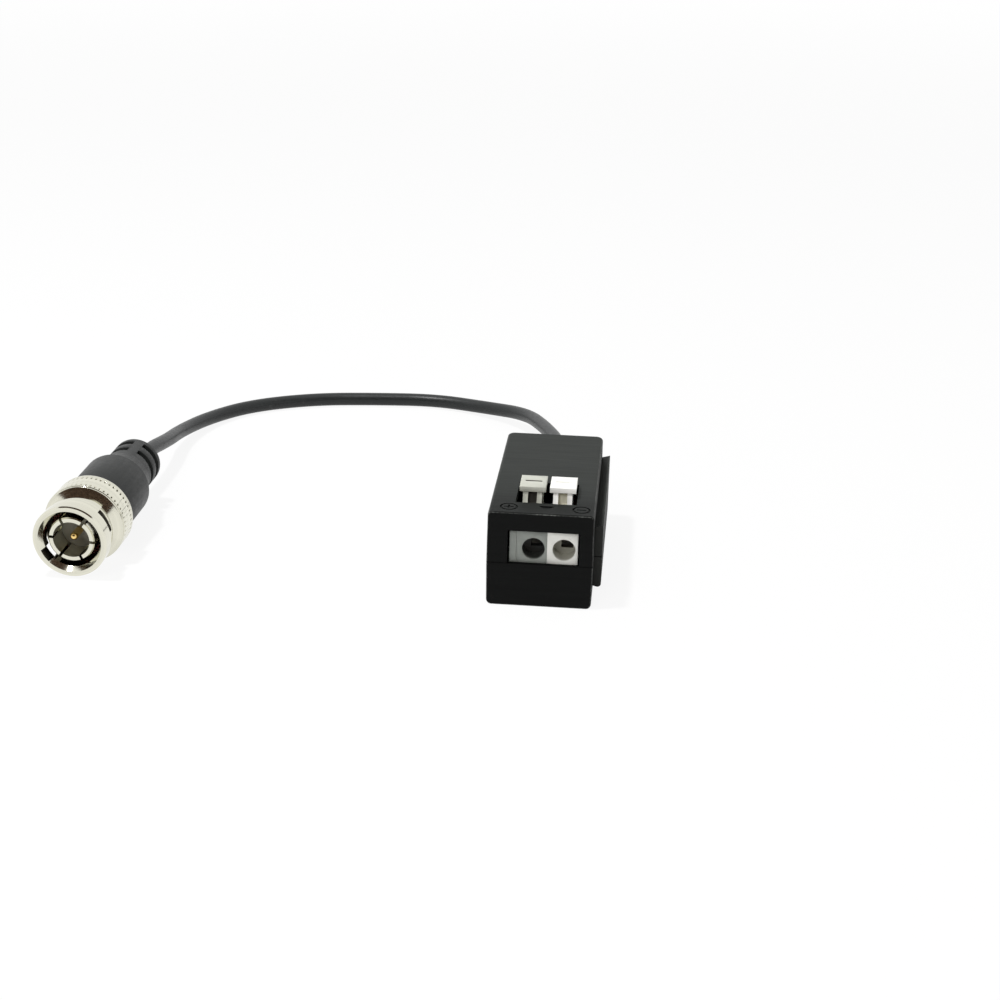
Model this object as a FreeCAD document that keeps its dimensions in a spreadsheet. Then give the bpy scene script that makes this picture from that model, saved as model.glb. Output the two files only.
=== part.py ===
import FreeCAD, Part
import math
import os
import re

import Sketcher
from FreeCAD import Placement, Rotation, Vector

# Video balun for a security camera: a small black housing with a two-pole
# lever terminal at its front, and a coaxial pigtail with a BNC plug.
# Millimetres. The origin is the centre of the housing's bottom face, with X
# to the right, Y to the back (the terminal faces -Y) and Z up.

doc = FreeCAD.newDocument("VideoBalun")
sheet = doc.addObject("Spreadsheet::Sheet", "Dimensions")
aliases = []
pieces = []


def dimension(alias, value, meaning):
    """Write one driving dimension as a plain number with its alias."""
    aliases.append(alias)
    row = len(aliases)
    sheet.set(f"A{row}", meaning)
    sheet.set(f"B{row}", str(value))
    sheet.setAlias(f"B{row}", alias)


# Housing
dimension("housing_width", 17.7, "width over the parting line")
dimension("housing_length", 40.4, "length from the terminal face to the cable face")
dimension("housing_height", 16.7, "height over both shells")
dimension("parting_height", 7.7, "height of the parting line")
dimension("mould_draft", 0.6, "draft of the outer walls, degrees")
dimension("wall", 1.4, "thickness of the side and end walls")
dimension("top_wall", 1.5, "thickness of the top")
dimension("floor_wall", 1.5, "thickness of the bottom")
dimension("rear_corner", 1.3, "radius of the upright corners at the cable end")
dimension("front_edge", 0.3, "radius of the edges round the terminal face")
dimension("top_edge", 0.6, "radius of the other edges on top")
dimension("bottom_edge", 0.9, "radius of the other edges at the bottom")
dimension("lip_height", 0.9, "height of the locating lip on the lower shell")
dimension("lip_thickness", 0.6, "thickness of that lip")
dimension("seam_clearance", 0.08, "clearance around the lip")

# Side rail and channel, by which housings slide together
dimension("rail_proud", 1.35, "how far the rail stands out")
dimension("rail_bottom", 2.0, "height of the rail's lower edge")
dimension("rail_top", 13.3, "height of the rail's upper edge")
dimension("rail_undercut", 0.35, "dovetail undercut of the rail at its root")
dimension("rail_round", 0.6, "radius of the rail's lower outer edge")
dimension("rail_front_gap", 4.8, "from the terminal face to the rail")
dimension("rail_back_gap", 1.1, "from the rail to the cable face")
dimension("rail_clearance", 0.25, "clearance of the channel around a rail")
dimension("channel_wall", 1.2, "wall behind the channel")

# Circuit board
dimension("board_top", 6.2, "height of the board's upper face")
dimension("board_thickness", 1.2, "thickness of the board")
dimension("board_front_gap", 1.6, "from the terminal face to the board")
dimension("board_back_gap", 7.2, "from the cable face to the board")
dimension("board_clearance", 0.15, "gap between the board and the side walls")
dimension("post_radius", 1.1, "radius of the posts under the board")
dimension("peg_radius", 0.6, "radius of the pegs through the board")
dimension("peg_clearance", 0.1, "radial clearance of a peg")
dimension("peg_stand", 0.6, "height of a peg over the board")
dimension("post_inset", 1.35, "from the side walls to the posts")
dimension("front_post_gap", 2.9, "from the terminal face to the front posts")
dimension("middle_post_gap", 1.8, "from the terminal's back to the middle posts")
dimension("rear_post_gap", 9.0, "from the cable face to the rear posts")

# Lever terminal
dimension("terminal_pitch", 5.08, "width of a module and distance of the poles")
dimension("plate_thickness", 1.2, "thickness of the end plate")
dimension("stack_centre", 0.55, "middle of the terminal, right of the housing's middle")
dimension("terminal_recess", 0.8, "from the front face to the terminal's face")
dimension("terminal_length", 12.8, "length of the modules")
dimension("terminal_height", 7.0, "height of the modules")
dimension("window_gap", 0.3, "gap around the terminal in the front window")
dimension("wire_hole", 3.8, "diameter of the wire entry")
dimension("wire_funnel", 3.0, "depth of the round wire entry")
dimension("wire_height", 4.0, "height of the wire entry over the board")
dimension("wire_offset", 2.8, "from a module's left face to its wire entry")
dimension("throat_width", 2.0, "width of the square throat behind the entry")
dimension("throat_height", 2.2, "height of that throat")
dimension("throat_shift", 0.4, "throat's middle, right of the entry's middle")
dimension("cell_width", 4.2, "width of a module's cell, open to the left")
dimension("cell_front", 4.2, "from a module's face to its cell")
dimension("cell_length", 5.85, "length of the cell")
dimension("cell_floor", 1.3, "floor of the cell over the board")

# Levers
dimension("pivot_back", 11.2, "from a module's face to the lever's pivot")
dimension("pivot_height", 4.8, "height of the pivot over the board")
dimension("pivot_radius", 0.8, "radius of the lever's round nose")
dimension("pivot_clearance", 0.05, "radial clearance of the nose")
dimension("mouth_height", 0.3, "from the pivot up to the mouth of its socket")
dimension("lever_offset", 2.0, "from a module's left face to the lever's middle")
dimension("neck_width", 3.2, "width of the lever's neck")
dimension("neck_thickness", 1.4, "thickness of the rear leg")
dimension("head_width", 4.4, "width of the lever's head")
dimension("head_length", 5.5, "length of the head")
dimension("head_thickness", 0.85, "thickness of the head")
dimension("head_stand", 6.75, "from the pivot up to the underside of the head")
dimension("head_reach", 4.7, "from the pivot forward to the head's front edge")
dimension("neck_setback", 0.3, "neck's front behind the head's front")
dimension("foot_reach", 6.4, "from the pivot forward to the foot")
dimension("foot_height", 1.35, "from the pivot up to the foot's sole")
dimension("foot_top", 3.0, "from the pivot up to the top of the foot")
dimension("foot_length", 1.2, "length of the foot's sole")
dimension("groove_width", 1.5, "width of the groove in the neck's front")
dimension("groove_depth", 1.0, "depth of that groove")
dimension("slot_width", 0.5, "width of the driver slot across the head")
dimension("slot_depth", 0.5, "depth of that slot")
dimension("lever_window_front", 4.9, "from the front face to the lever window")
dimension("lever_window_length", 9.6, "length of the lever window")
dimension("lever_window_left", 4.6, "from the middle to the window's left edge")
dimension("lever_window_right", 5.6, "from the middle to the window's right edge")
dimension("mark_front", 2.8, "from the front face to the middle of the marks")
dimension("plus_side", -5.5, "from the middle to the plus mark")
dimension("minus_side", 6.5, "from the middle to the minus mark")
dimension("arrow_side", 0.7, "from the middle to the arrow")
dimension("mark_ring", 1.35, "radius of the ring round a mark")
dimension("mark_line", 0.3, "width of an engraved line")
dimension("mark_bar", 1.6, "length of a bar of the plus and the minus")
dimension("mark_depth", 0.25, "depth of the marks")
dimension("arrow_width", 2.6, "width of the arrow")
dimension("arrow_length", 1.8, "length of the arrow")

# Clamp springs and contact bars
dimension("spring_thickness", 0.25, "thickness of the clamp spring")
dimension("spring_width", 2.4, "width of the clamp spring")
dimension("spring_offset", 2.7, "from a module's left face to the spring's middle")
dimension("spring_back", 9.8, "from a module's face to the spring's back leg")
dimension("spring_front", 4.75, "from a module's face to the spring's front bend")
dimension("spring_height", 5.75, "height of the spring's top leaf over the board")
dimension("tongue_back", 7.4, "from a module's face to the tongue's tip")
dimension("spring_bend", 0.5, "bend radius of the spring")
dimension("contact_thickness", 0.5, "thickness of the contact bar")
dimension("contact_height", 3.0, "middle of the contact bar over the board")
dimension("contact_front", 4.4, "from a module's face to the contact bar")
dimension("contact_width", 2.2, "width of the contact bar")
dimension("contact_bend", 0.5, "bend radius of the contact bar")
dimension("pin_back", 8.8, "from a module's face to the solder pin")
dimension("pin_width", 1.1, "width of the solder pin")
dimension("pin_stand", 1.3, "length of the pin under the board")
dimension("pin_clearance", 0.15, "clearance around the pin in its holes")

# Parts on the board
dimension("disc_radius", 3.1, "radius of the surge protector's disc")
dimension("disc_thickness", 2.2, "thickness of the disc")
dimension("disc_share", 0.76, "share of the free length before the disc")
dimension("disc_stand", 0.6, "from the board up to the disc")
dimension("lead_radius", 0.3, "radius of component leads")
dimension("core_radius", 4.3, "outer radius of the ferrite ring")
dimension("core_bore", 2.3, "bore radius of the ferrite ring")
dimension("core_height", 3.4, "height of the ferrite ring")
dimension("core_share", 0.24, "share of the free length between the disc and the ring")
dimension("wire_layer", 0.45, "thickness of the winding on the ring")
dimension("winding_clearance", 0.03, "gap between the ring and the winding")
dimension("winding_span", 138.0, "angle that one winding covers, degrees")
dimension("turn_count", 9, "turns of one winding")
dimension("chip_length", 2.0, "length of a chip resistor")
dimension("chip_width", 1.25, "width of a chip resistor")
dimension("chip_height", 0.55, "height of a chip resistor")
dimension("chip_gap", 9.8, "from the cable face to the chips' middle")
dimension("chip_wall_gap", 2.525, "from a side wall to the chip beside it")

# Cable and its anchorage in the housing
dimension("cable_radius", 1.4, "radius of the cable")
dimension("cable_side", 0.6, "cable's exit, right of the middle")
dimension("bush_bore_clearance", 0.05, "radial gap between the cable and its bush")
dimension("bush_neck", 2.3, "radius of the bush in the wall")
dimension("bush_flange", 3.0, "radius of the bush's flanges")
dimension("bush_outer", 1.2, "thickness of the outer flange")
dimension("bush_inner", 0.7, "thickness of the inner flange")
dimension("bush_clearance", 0.05, "gap between the bush and the shells")
dimension("tie_width", 2.0, "width of the cable tie")
dimension("tie_thickness", 0.9, "thickness of the tie's band")
dimension("saddle_thickness", 0.9, "thickness of the saddle rib")
dimension("saddle_gap", 0.15, "gap between the tie and the saddle rib")
dimension("saddle_width", 7.0, "width of the saddle rib")
dimension("saddle_rise", 0.6, "rib's top over the cable's middle")
dimension("jacket_end", 7.4, "from the cable face in to the end of the jacket")
dimension("bared_length", 3.4, "length of the cable's bared end with its bend")
dimension("core_wire", 0.75, "radius of the cable's inner insulation")
dimension("conductor", 0.24, "radius of the inner conductor")

# BNC plug
dimension("plug_x", -79.7, "plug's front ring, left of the housing's middle")
dimension("plug_y", -19.96, "plug's front ring along the housing")
dimension("plug_yaw", 1.5, "plug's axis from the housing's length, degrees")
dimension("plug_rise", 1.5, "rise of the plug's axis to the back, degrees")
dimension("rest_gap", 0.03, "gap between the coupling nut and the ground")
dimension("collar_radius", 6.46, "outer radius of the bayonet collar")
dimension("collar_length", 4.8, "length of the bayonet collar")
dimension("rim_length", 2.5, "front rim that the bayonet lugs bear on")
dimension("collar_round", 0.2, "rounding of the collar's front edge")
dimension("mouth_radius", 5.54, "radius of the nut's mouth")
dimension("mouth_depth", 0.9, "depth of the mouth's chamfer")
dimension("nut_bore", 4.9, "bore radius of the coupling nut")
dimension("nut_neck", 5.9, "outer radius behind the collar")
dimension("knurl_start", 7.4, "from the nut's front to its grip ring")
dimension("knurl_radius", 7.14, "outer radius of the grip ring")
dimension("nut_length", 12.82, "length of the coupling nut")
dimension("knurl_chamfer", 0.45, "chamfer of the grip ring")
dimension("nut_chamber", 5.75, "radius of the chamber at the nut's back")
dimension("chamber_start", 8.5, "from the nut's front to that chamber")
dimension("lug_width", 2.3, "width of the bayonet grooves")
dimension("lug_circle", 5.52, "radius to the bottom of the bayonet grooves")
dimension("entry_angle", -33.0, "angle of the entry groove, degrees")
dimension("step_angle", -46.5, "angle where the collar and the window end, degrees")
dimension("cam_turn", 95.0, "turn of the bayonet cam, degrees")
dimension("cam_rise", 0.5, "rise of the cam")
dimension("window_turn", 41.0, "turn of the window at the entry groove, degrees")
dimension("window_width", 1.5, "width of that window")
dimension("relief_turn", 107.0, "angle over which only the rim stands out, degrees")
dimension("ramp_turn", 58.0, "angle over which the collar widens, degrees")
dimension("ramp_step", 0.5, "step up from the rim to the widening collar")
dimension("sleeve_start", 0.96, "from the nut's front to the contact sleeve")
dimension("sleeve_radius", 4.05, "outer radius of the contact sleeve")
dimension("sleeve_bore", 3.2, "inner radius of the contact sleeve")
dimension("sleeve_slots", 6, "slots in the contact sleeve")
dimension("sleeve_slot", 0.5, "width of a slot")
dimension("slot_length", 4.6, "length of a slot")
dimension("slot_angle", 5.0, "angle of the first slot, degrees")
dimension("flange_start", 8.7, "from the nut's front to the body's flange")
dimension("flange_radius", 5.6, "radius of the body's flange")
dimension("flange_thickness", 1.0, "thickness of the flange")
dimension("barrel_radius", 4.9, "radius of the body behind the flange")
dimension("barrel_end", 14.4, "from the nut's front to the barrel's end")
dimension("stem_radius", 2.2, "radius of the crimp stem")
dimension("stem_end", 21.5, "from the nut's front to the stem's end")
dimension("stem_bore", 0.95, "bore radius of the stem")
dimension("insulator_start", 5.3, "from the nut's front to the insulator")
dimension("insulator_end", 12.6, "from the nut's front to the insulator's back")
dimension("insulator_clearance", 0.03, "radial gap round the insulator")
dimension("pin_start", 1.9, "from the nut's front to the pin's tip")
dimension("pin_radius", 0.67, "radius of the centre pin")
dimension("pin_tip", 0.33, "radius of the pin's tip")
dimension("pin_taper", 0.8, "length of the pin's taper")
dimension("pin_crimp_radius", 0.85, "radius of the pin's crimp barrel")
dimension("pin_crimp_end", 16.5, "from the nut's front to the pin's end")
dimension("gasket_thickness", 0.85, "thickness of the gasket")
dimension("gasket_clearance", 0.05, "gap round the gasket")
dimension("ring_start", 11.25, "from the nut's front to the retaining ring")
dimension("ring_thickness", 0.5, "thickness of the retaining ring")
dimension("ring_groove", 6.05, "radius of the groove for the ring")
dimension("ring_clearance", 0.05, "gap round the retaining ring")
dimension("ring_opening", 40.0, "opening of the retaining ring, degrees")
dimension("washer_thickness", 0.35, "thickness of the cone washer")
dimension("washer_gap", 0.06, "gap at both sides of the cone washer")
dimension("barrel_clearance", 0.1, "radial gap on the barrel")
dimension("ferrule_start", 15.0, "from the nut's front to the crimp ferrule")
dimension("ferrule_end", 30.5, "from the nut's front to the ferrule's end")
dimension("ferrule_radius", 2.75, "outer radius of the ferrule on the stem")
dimension("ferrule_crimp", 2.0, "outer radius of the ferrule on the cable")
dimension("ferrule_step", 22.5, "from the nut's front to the ferrule's step")
dimension("moulding_gap", 0.04, "gap between moulded and metal pieces")
dimension("plug_jacket_end", 29.0, "from the nut's front to the end of the cable's jacket")

# Moulded boot of the plug
dimension("boot_start", 13.3, "from the nut's front to the boot")
dimension("boot_radius", 6.22, "radius of the boot")
dimension("boot_shoulder", 24.9, "from the nut's front to the boot's shoulder")
dimension("boot_round", 0.35, "rounding of the boot's edges")
dimension("relief_radius", 4.55, "radius of the strain relief")
dimension("relief_start", 30.2, "from the nut's front to the strain relief")
dimension("relief_groove", 3.5, "radius at the bottom of its grooves")
dimension("first_groove", 31.5, "from the nut's front to the first groove")
dimension("groove_pitch", 3.2, "distance of the two grooves")
dimension("groove_gap", 1.4, "width of a groove")
dimension("bridge_width", 1.8, "width of the bridges across the grooves")
dimension("bridge_angle", -75.0, "angle of the bridges, degrees")
dimension("boot_end", 37.6, "from the nut's front to the boot's end")
doc.recompute()

FRONT = "(-housing_length / 2)"
BACK = "(housing_length / 2)"
LEFT = "(-housing_width / 2)"
RIGHT = "(housing_width / 2)"
CHANNEL_DEPTH = "(rail_proud + rail_clearance)"
CAVITY_LEFT = f"({LEFT} + {CHANNEL_DEPTH} + channel_wall)"
CAVITY_RIGHT = f"({RIGHT} - wall)"
CAVITY_FRONT = f"({FRONT} + wall)"
CAVITY_BACK = f"({BACK} - wall)"
CAVITY_MIDDLE = f"(({CAVITY_LEFT} + {CAVITY_RIGHT}) / 2)"
STACK_LEFT = "(stack_centre - terminal_pitch - plate_thickness / 2)"
STACK_WIDTH = "(2 * terminal_pitch + plate_thickness)"
TERMINAL_FRONT = f"({FRONT} + terminal_recess)"
TERMINAL_TOP = "(board_top + terminal_height)"
TERMINAL_BACK = f"({TERMINAL_FRONT} + terminal_length)"
BOARD_BOTTOM = "(board_top - board_thickness)"
BUSH_IN = f"({CAVITY_BACK} - bush_inner)"
TIE_BACK = f"({BUSH_IN} - saddle_gap)"
SADDLE_BACK = f"({TIE_BACK} - tie_width - saddle_gap)"
JACKET_END = f"({BACK} - jacket_end)"
CORE_REACH = "(core_radius + winding_clearance + wire_layer)"
FREE_LENGTH = f"({JACKET_END} - bared_length - {TERMINAL_BACK} - disc_thickness - 2 * {CORE_REACH})"
DISC_FRONT = f"({TERMINAL_BACK} + disc_share * {FREE_LENGTH})"
CORE_MIDDLE = f"({DISC_FRONT} + disc_thickness + core_share * {FREE_LENGTH} + {CORE_REACH})"
NAME = re.compile(r"[a-z][a-z_]+")


def mm(alias):
    """Value of a driving dimension."""
    return float(sheet.get(alias))


def formula(text):
    """Formula with each dimension's name led by the sheet's name."""
    def led(match):
        word = match.group()
        return f"Dimensions.{word}" if word in aliases else word
    return NAME.sub(led, str(text))


def bind(item, path, text):
    """Tie one property of an object to the sheet."""
    item.setExpression(path, formula(text))


def move(item, x="0", y="0", z="0"):
    """Tie an object's place to the sheet."""
    for axis, text in zip("xyz", (x, y, z)):
        bind(item, f"Placement.Base.{axis}", text)
    return item


def box(name, corner, size):
    """Block from its lowest corner and its size."""
    item = doc.addObject("Part::Box", name)
    for path, text in zip(("Length", "Width", "Height"), size):
        bind(item, path, text)
    return move(item, *corner)


TURNS = {"x": Rotation(Vector(0, 1, 0), 90), "y": Rotation(Vector(1, 0, 0), -90), "z": Rotation()}


def cylinder(name, radius, length, start, axis="z"):
    """Round bar from its start along an axis."""
    item = doc.addObject("Part::Cylinder", name)
    item.Placement = Placement(Vector(), TURNS[axis])
    bind(item, "Radius", radius)
    bind(item, "Height", length)
    return move(item, *start)


def fuse(name, *items):
    """One solid from several that touch."""
    item = doc.addObject("Part::MultiFuse", name)
    item.Shapes = list(items)
    item.Refine = True
    return item


def cut(name, base, *tools):
    """A solid less one or more tools."""
    item = doc.addObject("Part::Cut", name)
    item.Base = base
    item.Tool = tools[0] if len(tools) == 1 else fuse(f"{name}_tools", *tools)
    item.Refine = True
    return item


def body(name):
    """New body of a piece that is made feature by feature."""
    return doc.addObject("PartDesign::Body", name)


def sketch(owner, name, plane, at="0"):
    """Sketch in a body, on an origin plane moved along its normal."""
    item = owner.newObject("Sketcher::SketchObject", name)
    planes = [feature for feature in owner.Origin.OriginFeatures if feature.Role == plane]
    item.AttachmentSupport = [(planes[0], "")]
    item.MapMode = "FlatFace"
    sign = "-" if plane == "XZ_Plane" else ""
    bind(item, "AttachmentOffset.Base.z", f"{sign}({at})")
    return item


def dimension_point(item, geometry, point, across, up):
    """Tie a sketch point to two dimensions from the sketch's origin."""
    for kind, text in (("DistanceX", across), ("DistanceY", up)):
        index = item.addConstraint(Sketcher.Constraint(kind, -1, 1, geometry, point, 1.0))
        item.setExpression(f"Constraints[{index}]", formula(text))


def polygon(item, points):
    """Closed outline with every corner tied to the sheet."""
    count = len(points)
    first = item.GeometryCount
    turns = [math.tau * i / count for i in range(count)]
    start = [Vector(math.cos(turn), math.sin(turn), 0) for turn in turns]
    for i in range(count):
        item.addGeometry(Part.LineSegment(start[i], start[(i + 1) % count]))
    for i in range(count):
        item.addConstraint(Sketcher.Constraint("Coincident", first + i, 2, first + (i + 1) % count, 1))
    for i, (across, up) in enumerate(points):
        dimension_point(item, first + i, 1, across, up)
    return item


def rectangle(item, left, right, low, high):
    """Closed rectangle in a sketch."""
    return polygon(item, [(left, low), (right, low), (right, high), (left, high)])


def circle(item, across, up, radius):
    """Circle in a sketch."""
    index = item.addGeometry(Part.Circle(Vector(1, 1, 0), Vector(0, 0, 1), 1))
    dimension_point(item, index, 3, across, up)
    size = item.addConstraint(Sketcher.Constraint("Radius", index, 1.0))
    item.setExpression(f"Constraints[{size}]", formula(radius))
    return item


def pad(owner, profile, length, reverse=False, taper=None, middle=False):
    """Pad of a sketch."""
    item = owner.newObject("PartDesign::Pad", f"{profile.Name}_pad")
    item.Profile = profile
    item.Reversed = reverse
    if middle:
        item.SideType = "Symmetric"
    bind(item, "Length", length)
    if taper:
        bind(item, "TaperAngle", taper)
    return item


def pocket(owner, profile, length, reverse=False, middle=False):
    """Pocket of a sketch, which has to take material away."""
    before = owner.Tip
    item = owner.newObject("PartDesign::Pocket", f"{profile.Name}_pocket")
    item.Profile = profile
    item.Reversed = reverse
    if middle:
        item.SideType = "Symmetric"
    bind(item, "Length", length)
    doc.recompute()
    if not item.Shape.Volume < before.Shape.Volume - 1e-6:
        raise RuntimeError(f"{item.Name} cuts nothing")
    return item


def revolve(name, points):
    """Turned piece from its radius and length pairs, about its own Z."""
    owner = body(name)
    profile = polygon(sketch(owner, f"{name}_profile", "XZ_Plane"), points)
    item = owner.newObject("PartDesign::Revolution", f"{name}_turn")
    item.Profile = profile
    item.ReferenceAxis = (profile, ["V_Axis"])
    item.Angle = 360
    return owner


def edges(feature, wanted):
    """Names of the feature's edges for which the test holds."""
    doc.recompute()
    return [f"Edge{i}" for i, edge in enumerate(feature.Shape.Edges, 1) if wanted(edge)]


def round_edges(owner, feature, radius, wanted):
    """Fillet on chosen edges of a body's last feature."""
    item = owner.newObject("PartDesign::Fillet", f"{owner.Name}_round_{len(owner.Group)}")
    item.Base = (feature, edges(feature, wanted))
    bind(item, "Radius", radius)
    return item


def piece(name, item):
    """Enter an object as a finished piece under its own label."""
    item.Label = name
    pieces.append(item)
    return item


def upright(edge):
    """Whether an edge runs mainly along Z."""
    size = edge.BoundBox
    return size.ZLength > 4 * max(size.XLength, size.YLength)


def front_edge(edge):
    """Whether an edge lies in the housing's terminal face."""
    return edge.BoundBox.YMax < 0.2 - mm("housing_length") / 2


# Upper shell: a drafted box with rounded edges, open below, with the front
# window, the lever window, the upper half of the rail and of the channel.
def upper_shell():
    shell = body("upper_shell")
    outline = sketch(shell, "upper_outline", "XY_Plane", "parting_height")
    rectangle(outline, LEFT, RIGHT, FRONT, BACK)
    block = pad(shell, outline, "housing_height - parting_height", taper="-mould_draft")
    top = mm("housing_height") - 0.01
    seam = mm("parting_height") + 0.1
    rear = round_edges(shell, block, "rear_corner", lambda e: upright(e) and e.BoundBox.YMin > 0)
    brim = round_edges(shell, rear, "top_edge", lambda e: e.BoundBox.ZMin > top and e.BoundBox.YMax > 0)
    round_edges(shell, brim, "front_edge", lambda e: front_edge(e) and e.BoundBox.ZMax > seam)
    hollow = rectangle(sketch(shell, "upper_hollow", "XY_Plane", "parting_height"),
                       CAVITY_LEFT, CAVITY_RIGHT, CAVITY_FRONT, CAVITY_BACK)
    pocket(shell, hollow, "housing_height - parting_height - top_wall", reverse=True)
    reach = "lip_thickness + seam_clearance"
    rebate = rectangle(sketch(shell, "upper_rebate", "XY_Plane", "parting_height"),
                       f"{CAVITY_LEFT} - ({reach})", f"{CAVITY_RIGHT} + {reach}",
                       CAVITY_FRONT, f"{CAVITY_BACK} + {reach}")
    pocket(shell, rebate, "lip_height + seam_clearance", reverse=True)
    window = rectangle(sketch(shell, "front_window", "XZ_Plane", CAVITY_FRONT),
                       f"{STACK_LEFT} - window_gap", f"{STACK_LEFT} + {STACK_WIDTH} + window_gap",
                       "parting_height - wall", f"{TERMINAL_TOP} + window_gap")
    pocket(shell, window, "2 * wall", reverse=True)
    levers = rectangle(sketch(shell, "lever_window", "XY_Plane", "housing_height"),
                       "-lever_window_left", "lever_window_right", f"{FRONT} + lever_window_front",
                       f"{FRONT} + lever_window_front + lever_window_length")
    pocket(shell, levers, "2 * top_wall")
    engraved_marks(shell)
    rail_and_channel(shell, "parting_height", "rail_top", "-1")
    exit_hole = circle(sketch(shell, "upper_exit", "XZ_Plane", BACK), "cable_side", "parting_height",
                       "bush_neck + bush_clearance")
    pocket(shell, exit_hole, "4 * wall", middle=True)
    return piece("upper_shell", shell)


def engraved_marks(shell):
    """Plus and minus in rings, and an arrow to the wire entries, on the top."""
    middle = f"{FRONT} + mark_front"
    for name, side in (("plus", "plus_side"), ("minus", "minus_side")):
        ring = sketch(shell, f"{name}_ring", "XY_Plane", "housing_height")
        circle(ring, side, middle, "mark_ring + mark_line / 2")
        circle(ring, side, middle, "mark_ring - mark_line / 2")
        pocket(shell, ring, "mark_depth")
        across = rectangle(sketch(shell, f"{name}_bar", "XY_Plane", "housing_height"),
                           f"{side} - mark_bar / 2", f"{side} + mark_bar / 2",
                           f"{middle} - mark_line / 2", f"{middle} + mark_line / 2")
        pocket(shell, across, "mark_depth")
    along = rectangle(sketch(shell, "plus_stem", "XY_Plane", "housing_height"),
                      "plus_side - mark_line / 2", "plus_side + mark_line / 2",
                      f"{middle} - mark_bar / 2", f"{middle} + mark_bar / 2")
    pocket(shell, along, "mark_depth")
    arrow = polygon(sketch(shell, "arrow", "XY_Plane", "housing_height"), [
        ("arrow_side - arrow_width / 2", f"{middle} + arrow_length / 2"),
        ("arrow_side", f"{middle} - arrow_length / 2"),
        ("arrow_side + arrow_width / 2", f"{middle} + arrow_length / 2")])
    pocket(shell, arrow, "mark_depth")


# Rail half on the right and channel half on the left of one shell. The rail
# is a flat dovetail; the channel is open at the cable end.
def rail_and_channel(shell, root, edge, sense):
    name = shell.Name
    rail = sketch(shell, f"{name}_rail", "XZ_Plane", f"{FRONT} + rail_front_gap")
    polygon(rail, [(f"{RIGHT} - wall / 2", root),
                   (f"{RIGHT} + rail_proud", root),
                   (f"{RIGHT} + rail_proud", edge),
                   (f"{RIGHT} - wall / 2",
                    f"{edge} + {sense} * rail_undercut * (1 + wall / (2 * rail_proud))")])
    strip = pad(shell, rail, "housing_length - rail_front_gap - rail_back_gap", reverse=True)
    if sense == "1":
        outer = mm("housing_width") / 2 + mm("rail_proud")
        round_edges(shell, strip, "rail_round", lambda e: e.BoundBox.XMin > outer - 0.01
                    and e.BoundBox.ZMax < mm("rail_bottom") + 0.01)
    channel = sketch(shell, f"{name}_channel", "XZ_Plane", BACK)
    wide = f"{edge} - {sense} * rail_clearance"
    flare = f"{sense} * rail_undercut * (1 + wall / {CHANNEL_DEPTH})"
    polygon(channel, [(f"{LEFT} + {CHANNEL_DEPTH}", f"{root} + {sense} * wall"),
                      (f"{LEFT} - wall", f"{root} + {sense} * wall"),
                      (f"{LEFT} - wall", f"{wide} + {flare}"),
                      (f"{LEFT} + {CHANNEL_DEPTH}", wide)])
    pocket(shell, channel, "housing_length - rail_front_gap + rail_clearance", reverse=True)


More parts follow.
